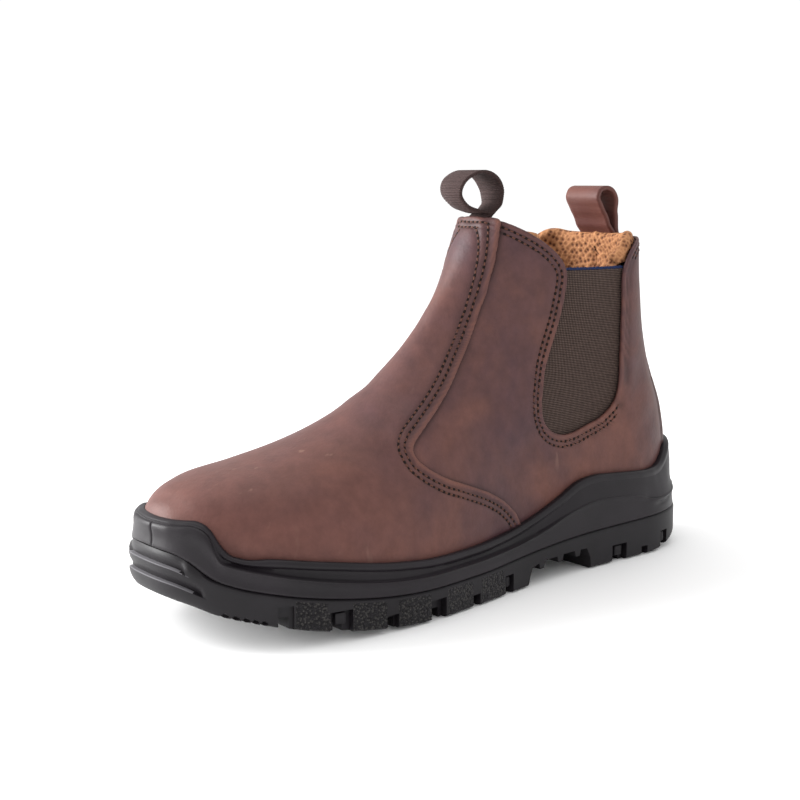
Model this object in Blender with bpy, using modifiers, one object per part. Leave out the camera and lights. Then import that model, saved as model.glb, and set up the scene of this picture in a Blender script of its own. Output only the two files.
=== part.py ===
"""Side gore work boot for the left foot, built as its maker would: an outsole, a midsole with toe bumper
and heel counter, an insole, a leather upper with a window on each side, two elastic gores and two pull loops.

The toe points to -Y, the outer (lateral) side is +X and the ground is z = 0. Everything is in metres.
"""

import math

import bmesh
import bpy
import numpy as np
from mathutils import Vector
from mathutils.bvhtree import BVHTree

# Driving sizes of the boot.
SOLE_LENGTH = 0.306
BALL_WIDTH = 0.110
COLLAR_FRONT = 0.174
COLLAR_BACK = 0.163
TOE_MARGIN = 0.0043
HEEL_MARGIN = 0.0065
SIDE_MARGIN = 0.007
FORE_SEAT = 0.021
HEEL_SEAT = 0.036
TOE_SPRING = 0.020
HEEL_LIFT = 0.0095
ANKLE_WIDTH = 0.074
COLLAR_WIDTH = 0.075
WALL = 0.0024
GAP = 0.0003
STEP = 0.0011
SOLE_DEPTH = 0.0138
TREAD_DEPTH = 0.0045
RIM_HEIGHT = 0.055
RIM_THICKNESS = 0.0042
GORE_THICKNESS = 0.0016
GORE_MARGIN = 0.006
INSOLE_THICKNESS = 0.0035
FLOOR_DROP = 0.0016
HEEL_DROP = 0.0012
FRONT_LOOP_WIDTH = 0.025
FRONT_LOOP_THICKNESS = 0.0014
REAR_LOOP_WIDTH = 0.027
REAR_LOOP_THICKNESS = 0.0020
LOOP_TAIL = 0.014

# Plan outline of the sole: share of the length from the heel, half widths as shares of the ball width.
OUTLINE = [
    # along, lateral, medial
    (0.00, 0.345, 0.340),
    (0.08, 0.352, 0.345),
    (0.18, 0.355, 0.345),
    (0.30, 0.360, 0.315),
    (0.42, 0.385, 0.310),
    (0.55, 0.450, 0.375),
    (0.66, 0.495, 0.445),
    (0.74, 0.500, 0.480),
    (0.82, 0.480, 0.490),
    (0.90, 0.440, 0.470),
    (1.00, 0.370, 0.410),
]
HEEL_ROUND = 0.148
TOE_ROUND = 0.19
TOE_POWER = 2.4

# Sections of the upper from toe tip to collar. Each runs from a low point, on the feather line or up the
# back, to a high point on the ridge or the shin. Shares of the upper's length and of the collar heights.
SECTIONS = [
    # low along, low rise, high along, high rise, crown, fullness
    (0.000, 0.00, 0.000, 0.255, 2.3, 2.3),
    (0.006, 0.00, 0.008, 0.302, 2.5, 2.4),
    (0.028, 0.00, 0.030, 0.332, 2.6, 2.5),
    (0.080, 0.00, 0.078, 0.366, 2.6, 2.5),
    (0.160, 0.00, 0.163, 0.396, 2.5, 2.3),
    (0.257, 0.00, 0.245, 0.437, 2.3, 2.1),
    (0.366, 0.00, 0.319, 0.492, 2.1, 2.0),
    (0.483, 0.00, 0.377, 0.554, 2.0, 1.95),
    (0.606, 0.00, 0.426, 0.623, 1.95, 1.9),
    (0.740, 0.00, 0.453, 0.668, 1.95, 1.9),
    (0.860, 0.00, 0.474, 0.709, 1.95, 2.0),
    (0.950, 0.00, 0.487, 0.737, 2.0, 2.0),
    (1.000, 0.00, 0.499, 0.764, 2.0, 2.0),
    (1.009, 0.12, 0.514, 0.803, 2.1, 2.0),
    (0.994, 0.28, 0.530, 0.852, 2.3, 2.05),
    (0.955, 0.45, 0.544, 0.903, 2.5, 2.1),
    (0.925, 0.62, 0.559, 0.948, 2.65, 2.15),
    (0.910, 0.80, 0.571, 0.983, 2.75, 2.2),
    (0.903, 1.04, 0.584, 1.020, 2.8, 2.2),
]
HEEL_ROW = 12

# Sidewall of the sole, as heights over the tread line: share of the length from the heel, then shares
# of the rim height for the joint with the outsole, the ridge and the rim.
SIDEWALL = [
    # along, joint, ridge, rim
    (0.000, 0.364, 0.560, 1.110),
    (0.015, 0.362, 0.555, 1.090),
    (0.030, 0.360, 0.548, 1.035),
    (0.050, 0.357, 0.528, 0.920),
    (0.075, 0.354, 0.512, 0.835),
    (0.128, 0.345, 0.510, 0.802),
    (0.167, 0.338, 0.570, 0.806),
    (0.215, 0.332, 0.600, 0.818),
    (0.263, 0.326, 0.612, 0.826),
    (0.298, 0.320, 0.590, 0.795),
    (0.338, 0.310, 0.540, 0.700),
    (0.380, 0.296, 0.470, 0.612),
    (0.448, 0.272, 0.400, 0.518),
    (0.506, 0.256, 0.378, 0.485),
    (0.615, 0.251, 0.370, 0.478),
    (0.699, 0.251, 0.372, 0.502),
    (0.827, 0.251, 0.392, 0.524),
    (0.891, 0.247, 0.394, 0.500),
    (0.928, 0.246, 0.396, 0.462),
    (0.942, 0.252, 0.402, 0.476),
    (0.950, 0.258, 0.410, 0.520),
    (0.958, 0.270, 0.425, 0.585),
    (0.966, 0.296, 0.445, 0.628),
    (0.976, 0.338, 0.470, 0.642),
    (0.988, 0.372, 0.485, 0.636),
    (1.000, 0.378, 0.490, 0.630),
]

# Edge of the vamp over the quarter, from the collar down and forward, then back to the sole.
VAMP_EDGE = [
    # along, rise
    (0.612, 1.040),
    (0.595, 0.966),
    (0.585, 0.905),
    (0.568, 0.804),
    (0.547, 0.724),
    (0.516, 0.643),
    (0.476, 0.559),
    (0.436, 0.497),
    (0.398, 0.449),
    (0.379, 0.426),
    (0.370, 0.408),
    (0.372, 0.390),
    (0.384, 0.369),
    (0.412, 0.338),
    (0.455, 0.309),
    (0.505, 0.274),
    (0.546, 0.232),
    (0.572, 0.185),
    (0.582, 0.148),
]
VAMP_BAND = 0.012

# Top line of the leather from the shin to the first corner of the gore, then round the gore's window,
# then from its last corner over the back.
COLLAR_LINE = [
    # along, rise
    (0.300, 1.003),
    (0.580, 1.001),
    (0.592, 0.993),
    (0.602, 0.980),
    (0.626, 0.962),
    (0.644, 0.947),
    (0.660, 0.928),
    (0.674, 0.903),
    (0.684, 0.876),
    (0.690, 0.848),
]
WINDOW = [
    # along, rise
    (0.6890, 0.770),
    (0.6810, 0.684),
    (0.6705, 0.620),
    (0.6560, 0.540),
    (0.6480, 0.484),
    (0.6490, 0.436),
    (0.6620, 0.403),
    (0.6820, 0.387),
    (0.7020, 0.385),
    (0.7480, 0.402),
    (0.7900, 0.426),
    (0.8110, 0.455),
    (0.8180, 0.496),
    (0.8150, 0.580),
    (0.8090, 0.680),
    (0.8060, 0.765),
]
COLLAR_REAR = [
    # along, rise
    (0.8060, 0.846),
    (0.8150, 0.876),
    (0.8280, 0.904),
    (0.8450, 0.922),
    (0.8650, 0.933),
    (0.9500, 0.937),
]
GORE_TOP = 0.848

# Notches between the lugs, as shares of the length from the heel.
NOTCHES = [
    # start, end
    (0.088, 0.109),
    (0.145, 0.160),
    (0.197, 0.231),
    (0.467, 0.487),
    (0.547, 0.563),
    (0.621, 0.651),
    (0.710, 0.730),
    (0.784, 0.818),
    (0.867, 0.887),
]
NOTCH_HEIGHT = 0.0088
NOTCH_REACH = 0.0085
GROOVE_WIDTH = 0.0042
# Grooves that run along the tread: place across as a share of the ball width, and where each starts and ends.
RUNS = [
    # across, start, end
    (0.17, 0.452, 0.900),
    (-0.17, 0.452, 0.900),
    (0.0, 0.040, 0.268),
]
# The waist between heel and forefoot: along the length from the heel, height over the ground as a
# share of the sole depth. The teeth are the waist's grip ribs.
WAIST = [
    # along, height
    (0.279, -0.30),
    (0.284, 0.45),
    (0.292, 0.78),
    (0.306, 0.80),
    (0.309, 0.58),
    (0.318, 0.58),
    (0.321, 0.80),
    (0.347, 0.80),
    (0.350, 0.56),
    (0.359, 0.56),
    (0.362, 0.78),
    (0.390, 0.76),
    (0.393, 0.52),
    (0.402, 0.50),
    (0.405, 0.72),
    (0.421, 0.62),
    (0.428, 0.20),
    (0.433, -0.30),
]

FRONT_LOOP = [
    # along, rise over the collar
    (0.5930, 0.0150),
    (0.5680, 0.0160),
    (0.5460, 0.0300),
    (0.5340, 0.0570),
    (0.5390, 0.0860),
    (0.5570, 0.1060),
    (0.5820, 0.1130),
    (0.6050, 0.0980),
    (0.6170, 0.0650),
    (0.6110, 0.0300),
]
REAR_LOOP = [
    # along, rise over the collar
    (0.8640, 0.0250),
    (0.8380, 0.0780),
    (0.8290, 0.1130),
    (0.8350, 0.1360),
    (0.8520, 0.1460),
    (0.8690, 0.1360),
    (0.8790, 0.1080),
    (0.8780, 0.0600),
]

TOE_Y = -SOLE_LENGTH / 2 + TOE_MARGIN
UPPER_LENGTH = SOLE_LENGTH - TOE_MARGIN - HEEL_MARGIN
ROWS = 30
COLUMNS = 28
STATIONS = 38


def smooth(rows, column, at):
    """Cubic through a table's column, by its first column."""
    x = np.array([r[0] for r in rows], float)
    y = np.array([r[column] for r in rows], float)
    slopes = np.gradient(y, x)
    at = np.clip(np.asarray(at, float), x[0], x[-1])
    i = np.clip(np.searchsorted(x, at) - 1, 0, len(x) - 2)
    step = x[i + 1] - x[i]
    s = (at - x[i]) / step
    return (
        y[i] * (1 + 2 * s) * (1 - s) ** 2
        + slopes[i] * step * s * (1 - s) ** 2
        + y[i + 1] * s * s * (3 - 2 * s)
        + slopes[i + 1] * step * s * s * (s - 1)
    )


def linear(rows, column, at):
    return np.interp(at, [r[0] for r in rows], [r[column] for r in rows])


def ramp(x, low, high):
    s = np.clip((np.asarray(x, float) - low) / (high - low), 0, 1)
    return s * s * (3 - 2 * s)


def closing(distance, length, power):
    """From 0 at an end to 1 one length away, round like a superellipse."""
    s = np.clip(np.asarray(distance, float) / length, 0, 1)
    return (1 - (1 - s) ** power) ** (1 / power)


def side_width(along, side):
    return np.where(
        np.asarray(side) > 0, smooth(OUTLINE, 1, along), smooth(OUTLINE, 2, along)
    )


def raw_shift(along):
    """The toe turns a little to the medial side."""
    return -0.0364 * BALL_WIDTH * ramp(along, 0.5, 1.0)


def sole_half(along, side):
    width = side_width(along, side) * BALL_WIDTH
    return width * closing(along, HEEL_ROUND, 2.2) * closing(1 - along, TOE_ROUND, TOE_POWER)


def plan_centre():
    """Half way between the widest points of the two sides, so that the boot sits about x = 0."""
    a = np.linspace(0, 1, 800)
    lateral = (sole_half(a, 1) + raw_shift(a)).max()
    medial = (-sole_half(a, -1) + raw_shift(a)).min()
    return (lateral + medial) / 2


CENTRE = plan_centre()


def axis_shift(along):
    return raw_shift(along) - CENTRE


def spring(along):
    return TOE_SPRING * np.clip((np.asarray(along) - 0.62) / 0.38, 0, 1) ** 2


def ground(along):
    """Height of the tread: flat under heel and ball, up at the toe and at the back of the heel."""
    return spring(along) + HEEL_LIFT * np.clip((0.14 - np.asarray(along)) / 0.14, 0, 1) ** 2


def seat(y):
    """Where the foot sits: the bottom edge of the upper and the top of the midsole's floor."""
    along = 0.5 - np.asarray(y, float) / SOLE_LENGTH
    return HEEL_SEAT + (FORE_SEAT - HEEL_SEAT) * ramp(along, 0.18, 0.56) + 0.8 * spring(along)


def floor_drop(y):
    """How far under the seat the midsole's hollow reaches: more at the heel, where the wall's edge dips."""
    along = 0.5 - np.asarray(y, float) / SOLE_LENGTH
    return FLOOR_DROP + HEEL_DROP * ramp(-along, -0.17, -0.06)


def section_rows():
    rows = np.array(SECTIONS, float)
    low_y = TOE_Y + rows[:, 0] * UPPER_LENGTH
    low_z = seat(low_y) + rows[:, 1] * (COLLAR_BACK - HEEL_SEAT)
    low = np.stack([low_y, low_z], 1)
    high = np.stack([TOE_Y + rows[:, 2] * UPPER_LENGTH, rows[:, 3] * COLLAR_FRONT], 1)
    steps = np.hypot(*np.diff(low, axis=0).T) + np.hypot(*np.diff(high, axis=0).T)
    t = np.concatenate([[0], np.cumsum(steps)])
    return t / t[-1], low, high, rows[:, 4], rows[:, 5]


T, LOW, HIGH, CROWN, FULL = section_rows()
BACK = [(float(z), float(y)) for y, z in LOW[HEEL_ROW:]]


def curve_at(values, t):
    return smooth(list(zip(T, values)), 1, t)


def upper_points(t, v):
    """Points of the upper's outer face. v runs from -1, low on the medial side, over the ridge to +1."""
    t, v = np.broadcast_arrays(np.asarray(t, float), np.asarray(v, float))
    low_y, low_z = curve_at(LOW[:, 0], t), curve_at(LOW[:, 1], t)
    high_y, high_z = curve_at(HIGH[:, 0], t), curve_at(HIGH[:, 1], t)
    p, q = curve_at(CROWN, t), curve_at(FULL, t)
    leg = ramp(t, T[HEEL_ROW - 3], T[HEEL_ROW])
    power = (1 - leg) * 2 / p + leg * 2
    h = np.sin((1 - np.abs(v)) * math.pi / 2) ** power
    y = low_y + h * (high_y - low_y)
    z = low_z + h * (high_z - low_z)
    side = np.where(v > 0, 1.0, -1.0)
    along = 0.5 - y / SOLE_LENGTH
    foot = (side_width(along, side) * BALL_WIDTH - SIDE_MARGIN) * closing(
        y - TOE_Y, TOE_ROUND * SOLE_LENGTH, TOE_POWER
    )
    tall = ramp(z, 0.30 * COLLAR_FRONT, 0.78 * COLLAR_FRONT) * ramp(-along, -0.72, -0.45)
    breadth = foot * (1 - tall) + tall * (
        ANKLE_WIDTH / 2 * (1 - tall) + COLLAR_WIDTH / 2 * tall
    )
    # The back is round at the heel and squarer at the collar.
    up = ramp(z, 0.34 * COLLAR_FRONT, 0.92 * COLLAR_FRONT)
    reach = SOLE_LENGTH * (0.150 * (1 - up) + 0.120 * up)
    away = np.clip((smooth(BACK, 1, z) - y) / reach, 0, 1)
    bend = 2.0 + 0.7 * up
    breadth = breadth * (1 - (1 - away) ** bend) ** (1 / bend)
    crown = np.maximum(0, 1 - h**p) ** (1 / q)
    return np.stack([side * breadth * crown + axis_shift(along), y, z], -1)


def collection(name, hidden=False):
    made = bpy.data.collections.new(name)
    bpy.context.scene.collection.children.link(made)
    made.hide_render = hidden
    return made


def make(name, bm, group, hidden=False):
    bmesh.ops.recalc_face_normals(bm, faces=bm.faces)
    if len(bm.faces) and bm.calc_volume(signed=True) < 0:
        bmesh.ops.reverse_faces(bm, faces=bm.faces)
    mesh = bpy.data.meshes.new(name)
    bm.to_mesh(mesh)
    bm.free()
    obj = bpy.data.objects.new(name, mesh)
    group.objects.link(obj)
    if hidden:
        obj.hide_render = True
        obj.display_type = "WIRE"
    return obj


def upper_bmesh(offset, closed):
    """The upper's surface as a grid, moved out by an offset. Closed, it is the form that fills the boot."""
    bm = bmesh.new()
    bmesh.ops.create_grid(bm, x_segments=ROWS, y_segments=COLUMNS, size=0.5)
    verts = sorted(bm.verts, key=lambda p: (round(p.co.x, 5), round(p.co.y, 5)))
    t = np.array([p.co.x + 0.5 for p in verts])
    v = np.array([2 * p.co.y for p in verts])
    # Rows crowd a little at the toe, where the form turns fastest.
    t = t - 0.35 * t * (1 - t) ** 3
    # One row ends at the heel's corner, where the open bottom meets the closed back.
    levels = t[::COLUMNS + 1]
    near = levels[np.argmin(np.abs(levels - T[HEEL_ROW]))]
    corner = T[HEEL_ROW]
    t = np.where(t <= near, t * corner / near, 1 - (1 - t) * (1 - corner) / (1 - near))
    for vert, place in zip(verts, upper_points(t, v)):
        vert.co = place
    grid = [verts[i * (COLUMNS + 1):(i + 1) * (COLUMNS + 1)] for i in range(ROWS + 1)]
    edge_rows = [i for i in range(ROWS + 1) if t[i * (COLUMNS + 1)] < corner + 1e-6]
    # The two sides come together at the toe tip and up the back.
    pairs = [(row[0], row[-1]) for row in grid[edge_rows[-1]:]]
    pairs += [(grid[0][j], grid[0][COLUMNS - j]) for j in range(COLUMNS // 2)]
    for one, two in pairs:
        middle = (one.co + two.co) / 2
        one.co = middle
        two.co = middle
    bm.normal_update()
    if offset:
        normals = {p: p.normal.copy() for p in verts}
        for one, two in pairs:
            both = (normals[one] + normals[two]).normalized()
            normals[one] = both
            normals[two] = both
        # Outward is away from the middle of the boot, which one point of the lateral side tells.
        sign = 1 if grid[ROWS // 2][COLUMNS * 3 // 4].normal.x > 0 else -1
        for p in verts:
            p.co = p.co + normals[p] * sign * offset
    if closed:
        # A skirt under the open edge makes room for the wall's rim, and a floor closes it.
        skirt = []
        for i in edge_rows:
            low = []
            for p in (grid[i][0], grid[i][-1]):
                low.append(bm.verts.new((p.co.x, p.co.y, p.co.z - float(floor_drop(p.co.y)))))
            skirt.append(low)
        for i in range(len(skirt) - 1):
            bm.faces.new((grid[i][0], grid[i + 1][0], skirt[i + 1][0], skirt[i][0]))
            bm.faces.new((grid[i][-1], grid[i + 1][-1], skirt[i + 1][1], skirt[i][1]))
            bm.faces.new((skirt[i][0], skirt[i][1], skirt[i + 1][1], skirt[i + 1][0]))
        top = grid[ROWS]
        for j in range(COLUMNS // 2):
            a, b, c, d = top[j], top[j + 1], top[COLUMNS - j - 1], top[COLUMNS - j]
            bm.faces.new((a, b, c, d) if b is not c else (a, b, d))
    bmesh.ops.remove_doubles(bm, verts=bm.verts, dist=1e-5)
    # The same split of each quad in every form cut from this surface keeps their facets parallel.
    bmesh.ops.triangulate(bm, faces=bm.faces, quad_method="FIXED")
    return bm


def ring_stations():
    """Round the plan outline from the heel along the lateral side to the toe and back: along, place, outward."""
    theta = np.linspace(0, math.pi, STATIONS + 1)
    a = (1 - np.cos(theta)) / 2
    a = np.concatenate([a, a[-2:0:-1]])
    side = np.array([1] * (STATIONS + 1) + [-1] * (STATIONS - 1))
    x = side * sole_half(a, side) + axis_shift(a)
    y = SOLE_LENGTH * (0.5 - a)
    place = np.stack([x, y], 1)
    along = np.roll(place, -1, 0) - np.roll(place, 1, 0)
    outward = np.stack([along[:, 1], -along[:, 0]], 1)
    outward /= np.linalg.norm(outward, axis=1, keepdims=True)
    if outward[STATIONS // 2, 0] < 0:
        outward = -outward
    return a, place, outward


def ring_bmesh(rings):
    """A closed solid from rings of points, each ring (stations, 3), with a floor bridged across at both ends."""
    bm = bmesh.new()
    made = [[bm.verts.new(Vector([float(c) for c in p])) for p in ring] for ring in rings]
    n = len(made[0])
    for lower, upper in zip(made, made[1:]):
        for k in range(n):
            bm.faces.new((lower[k], lower[(k + 1) % n], upper[(k + 1) % n], upper[k]))
    for ring in (made[0], made[-1]):
        for k in range(n // 2):
            a, b, c, d = ring[k], ring[k + 1], ring[(n - k - 1) % n], ring[(n - k) % n]
            corners = []
            for p in (a, b, c, d):
                if p not in corners:
                    corners.append(p)
            bm.faces.new(corners)
    bmesh.ops.triangulate(bm, faces=[f for f in bm.faces if len(f.verts) > 3])
    return bm


def ring_at(place, outward, offset, z):
    points = place + outward * np.broadcast_to(offset, len(place))[:, None]
    return np.concatenate([points, np.broadcast_to(z, len(place))[:, None]], 1)


def distance_in(tree, place, outward, z, start=0.012):
    """How far in from the outline the upper's outer face is, at each station's own height."""
    found = []
    for p, n, height in zip(place, outward, z):
        origin = Vector((p[0] + n[0] * start, p[1] + n[1] * start, height))
        hit = tree.ray_cast(origin, Vector((-n[0], -n[1], 0)), 0.06)
        found.append(hit[3] - start if hit[0] is not None else np.nan)
    found = np.array(found)
    missing = np.isnan(found)
    if missing.any():
        index = np.arange(len(found))
        found[missing] = np.interp(index[missing], index[~missing], found[~missing])
    return found


def prism(name, profile, x0, x1, group):
    """A side view profile of (y, z) run across from x0 to x1."""
    bm = bmesh.new()
    front = [bm.verts.new((x1, y, z)) for y, z in profile]
    face = bm.faces.new(front)
    out = bmesh.ops.extrude_face_region(bm, geom=[face])
    for v in out["geom"]:
        if isinstance(v, bmesh.types.BMVert):
            v.co.x = x0
    bmesh.ops.triangulate(bm, faces=[f for f in bm.faces if len(f.verts) > 4])
    return make(name, bm, group, hidden=True)


def boolean(obj, name, operation, other):
    made = obj.modifiers.new(name, "BOOLEAN")
    made.operation = operation
    made.solver = "EXACT"
    made.object = other


def side_view(rows):
    return [(TOE_Y + a * UPPER_LENGTH, r * COLLAR_FRONT) for a, r in rows]


def material(name, colour, roughness):
    made = bpy.data.materials.new(name)
    made.use_nodes = True
    shader = made.node_tree.nodes["Principled BSDF"]
    shader.inputs["Base Color"].default_value = (*colour, 1)
    shader.inputs["Roughness"].default_value = roughness
    return made


def wrap_depth(stations, tree):
    """How thick the outsole is where it wraps up over the midsole's edge."""
    along, place, outward = stations
    joint = spring(along) + linear(SIDEWALL, 1, along) * RIM_HEIGHT
    height = np.maximum(joint, seat(place[:, 1]) + 0.002)
    return np.minimum(0.0046, 0.42 * distance_in(tree, place, outward, height))


def build_outsole(stations, tree, group, cutters):
    along, place, outward = stations
    wrap = wrap_depth(stations, tree)
    base = ground(along)
    joint = spring(along) + linear(SIDEWALL, 1, along) * RIM_HEIGHT - GAP / 2
    core = np.minimum(joint, spring(along) + linear(SIDEWALL, 1, np.minimum(along, 0.90)) * RIM_HEIGHT - GAP / 2)
    toe = ramp(along, 0.945, 0.985)
    profile = [
        # share of the wall's height, offset, extra offset at the toe
        (0.00, -0.0016, 0.0),
        (0.07, 0.0, 0.0),
        (0.30, 0.0, 0.0),
        (0.36, 0.0, 0.0012),
        (0.44, 0.0, 0.0012),
        (0.50, 0.0, 0.0),
        (0.60, 0.0, -0.0003),
        (0.66, 0.0, 0.0008),
        (0.74, 0.0, 0.0006),
        (0.80, 0.0, -0.0008),
        (0.96, -0.0001, -0.0012),
        (1.00, -0.0005, -0.0018),
    ]
    rings = [
        ring_at(place, outward, offset + extra * toe - 0.0012 * (extra != 0) * toe, base + share * (joint - base))
        for share, offset, extra in profile
    ]
    rings.append(ring_at(place, outward, -wrap, joint))
    rings.append(ring_at(place, outward, -wrap - 0.0003, core))
    outsole = make("outsole", ring_bmesh(rings), group)

    waist = [
        (SOLE_LENGTH * (0.5 - a), h * SOLE_DEPTH) for a, h in WAIST
    ]
    cut = prism("waist_cutter", waist, -BALL_WIDTH, BALL_WIDTH, cutters)
    boolean(outsole, "waist", "DIFFERENCE", cut)

    # Grooves across the tread at each notch, then the notches themselves round the edge.
    bm = bmesh.new()
    for start, end in NOTCHES:
        middle = (start + end) / 2
        y = SOLE_LENGTH * (0.5 - middle)
        top = float(ground(middle)) + TREAD_DEPTH
        box = bmesh.ops.create_cube(bm, size=1.0)["verts"]
        for v in box:
            v.co.x *= 2 * BALL_WIDTH
            v.co.y = y + v.co.y * GROOVE_WIDTH
            v.co.z = top if v.co.z > 0 else top - 0.03
    boolean(outsole, "grooves", "DIFFERENCE", make("groove_cutter", bm, cutters, hidden=True))

    bm = bmesh.new()
    for across, start, end in RUNS:
        a = np.linspace(start, end, 16)
        x = across * BALL_WIDTH * side_width(a, 1) / 0.5 + axis_shift(a)
        y = SOLE_LENGTH * (0.5 - a)
        top = ground(a) + 0.8 * TREAD_DEPTH
        rows = [
            [bm.verts.new((float(px + dx), float(py), float(pz))) for dx, pz in (
                (-GROOVE_WIDTH / 2, h), (GROOVE_WIDTH / 2, h), (GROOVE_WIDTH / 2, -0.02), (-GROOVE_WIDTH / 2, -0.02),
            )]
            for px, py, h in zip(x, y, top)
        ]
        for one, two in zip(rows, rows[1:]):
            for k in range(4):
                bm.faces.new((one[k], one[(k + 1) % 4], two[(k + 1) % 4], two[k]))
        bm.faces.new(rows[0])
        bm.faces.new(rows[-1])
    bmesh.ops.recalc_face_normals(bm, faces=bm.faces)
    boolean(outsole, "runs", "DIFFERENCE", make("run_cutter", bm, cutters, hidden=True))

    bm = bmesh.new()
    for start, end in NOTCHES:
        for side in (1, -1):
            a = np.array([start, end])
            x = side * sole_half(a, side) + axis_shift(a)
            y = SOLE_LENGTH * (0.5 - a)
            run = np.array([x[1] - x[0], y[1] - y[0]])
            run /= np.hypot(*run)
            out = np.array([-run[1], run[0]])
            if out[0] * side < 0:
                out = -out
            top = float(ground((start + end) / 2)) + NOTCH_HEIGHT
            box = bmesh.ops.create_cube(bm, size=1.0)["verts"]
            for v in box:
                k = 0 if v.co.y < 0 else 1
                reach = 0.006 if v.co.x > 0 else -NOTCH_REACH
                v.co = Vector((
                    x[k] + out[0] * reach,
                    y[k] + out[1] * reach,
                    top - (0.0 if reach > 0 else 0.0012) if v.co.z > 0 else top - 0.04,
                ))
    bmesh.ops.recalc_face_normals(bm, faces=bm.faces)
    boolean(outsole, "notches", "DIFFERENCE", make("notch_cutter", bm, cutters, hidden=True))
    return outsole


def build_midsole(stations, tree, group, form, bands):
    along, place, outward = stations
    lift = spring(along)
    joint = lift + linear(SIDEWALL, 1, along) * RIM_HEIGHT + GAP / 2
    core = np.minimum(joint, lift + linear(SIDEWALL, 1, np.minimum(along, 0.90)) * RIM_HEIGHT + GAP / 2)
    ridge = lift + linear(SIDEWALL, 2, along) * RIM_HEIGHT
    rim = lift + linear(SIDEWALL, 3, along) * RIM_HEIGHT
    wrap = wrap_depth(stations, tree)
    inward = distance_in(tree, place, outward, rim - 0.001)
    top = np.minimum(-(inward - RIM_THICKNESS), -0.0006)
    toe = ramp(along, 0.945, 0.985)
    rows = [
        ring_at(place, outward, -wrap - 0.0003 - GAP, core),
        ring_at(place, outward, -wrap - GAP, joint),
        ring_at(place, outward, -0.0012 - 0.0010 * toe, joint),
        ring_at(place, outward, -0.0007 - 0.0010 * toe, joint + 0.25 * (ridge - joint)),
        ring_at(place, outward, -0.0007 - 0.0010 * toe, joint + 0.75 * (ridge - joint)),
        ring_at(place, outward, -0.0001 - 0.0012 * toe, ridge),
        ring_at(place, outward, np.minimum(-0.0012, 0.4 * top), ridge + 0.22 * (rim - ridge)),
        ring_at(place, outward, np.minimum(-0.0018, 0.8 * top - 0.0006), ridge + 0.62 * (rim - ridge)),
        ring_at(place, outward, top - 0.0002, ridge + 0.72 * (rim - ridge)),
        ring_at(place, outward, top, rim - 0.0012),
        ring_at(place, outward, top - 0.0012, rim),
    ]
    midsole = make("midsole", ring_bmesh(rows), group)
    boolean(midsole, "seat", "DIFFERENCE", form)
    for n, band in enumerate(bands):
        boolean(midsole, f"seam_{n}", "DIFFERENCE", band)
    return midsole


def build_insole(stations, tree, group):
    along, place, outward = stations
    inward = distance_in(tree, place, outward, seat(place[:, 1]) + 0.0022)
    heel = 0.0034 * ramp(-along, -0.12, -0.01)
    points = place - outward * (inward + 1.15 * WALL + 3 * GAP + heel)[:, None]
    y = points[:, 1]
    low = np.concatenate([points, (seat(y) - floor_drop(y) + GAP)[:, None]], 1)
    high = low + np.array([0, 0, INSOLE_THICKNESS])
    return make("insole", ring_bmesh([low, high]), group)


def band_bmesh(tree, side, gap):
    """The vamp's raised edge: a strip along the seam, thick at the edge and gone below the surface inside."""
    edge = np.array(side_view(VAMP_EDGE))
    fine = np.linspace(0, len(edge) - 1, 2 * (len(edge) - 1) + 1)
    rows = [(float(i), y, z) for i, (y, z) in enumerate(edge)]
    path = np.stack([smooth(rows, 1, fine), smooth(rows, 2, fine)], 1)
    if not gap:
        path = path[:-1]
    run = np.gradient(path, axis=0)
    run /= np.linalg.norm(run, axis=1, keepdims=True)
    toward = np.stack([run[:, 1], -run[:, 0]], 1)
    if toward[len(toward) // 2, 0] > 0:
        toward = -toward
    across = [
        # distance from the seam into the vamp, height over the surface
        (-gap, -0.0012),
        (-gap, STEP + gap),
        (0.35 * VAMP_BAND, STEP + gap),
        (VAMP_BAND, -0.0003 + gap),
        (VAMP_BAND, -0.0012),
    ]
    bm = bmesh.new()
    strips = []
    for p, n in zip(path, toward):
        strip = []
        for reach, rise in across:
            y, z = p + n * reach
            z = max(z, float(seat(y)) + (0.0006 if gap else 0.0020))
            # The space for it opens a little more near the feather line, where the facets turn.
            more = 2.0 * gap * (1 - float(ramp(z - seat(y), 0.003, 0.011)))
            hit = tree.ray_cast(Vector((side * 0.12, y, z)), Vector((-side, 0, 0)), 0.24)
            if hit[0] is None or hit[0].x * side < -0.01:
                strip = None
                break
            sign = 1 if hit[1].x * side > 0 else -1
            strip.append(bm.verts.new(hit[0] + hit[1] * sign * (rise + more * (rise > 0))))
        if strip:
            strips.append(strip)
    for one, two in zip(strips, strips[1:]):
        for k in range(len(across)):
            m = (k + 1) % len(across)
            bm.faces.new((one[k], one[m], two[m], two[k]))
    bm.faces.new(strips[0])
    bm.faces.new(strips[-1])
    bmesh.ops.triangulate(bm, faces=bm.faces, quad_method="FIXED")
    return bm


def build_upper(tree, group, cutters):
    upper = make("upper", upper_bmesh(0, False), group)
    if upper.data.polygons[len(upper.data.polygons) // 2].normal.length == 0:
        raise RuntimeError("the upper's surface is degenerate")
    wall = upper.modifiers.new("wall", "SOLIDIFY")
    wall.thickness = WALL
    wall.offset = -1
    wall.use_rim = True
    bands = []
    for side, name in ((1, "lateral"), (-1, "medial")):
        band = make(f"vamp_edge_{name}", band_bmesh(tree, side, 0.0), cutters, hidden=True)
        boolean(upper, f"vamp_edge_{name}", "UNION", band)
        bands.append(make(f"vamp_space_{name}", band_bmesh(tree, side, 1.3 * GAP), cutters, hidden=True))
    outline = side_view(COLLAR_LINE + WINDOW + COLLAR_REAR)
    high = COLLAR_FRONT * 1.2
    outline = outline + [(outline[-1][0], high), (outline[0][0], high)]
    cut = prism("collar_cutter", outline, -BALL_WIDTH, BALL_WIDTH, cutters)
    boolean(upper, "collar", "DIFFERENCE", cut)
    return upper, bands


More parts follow.
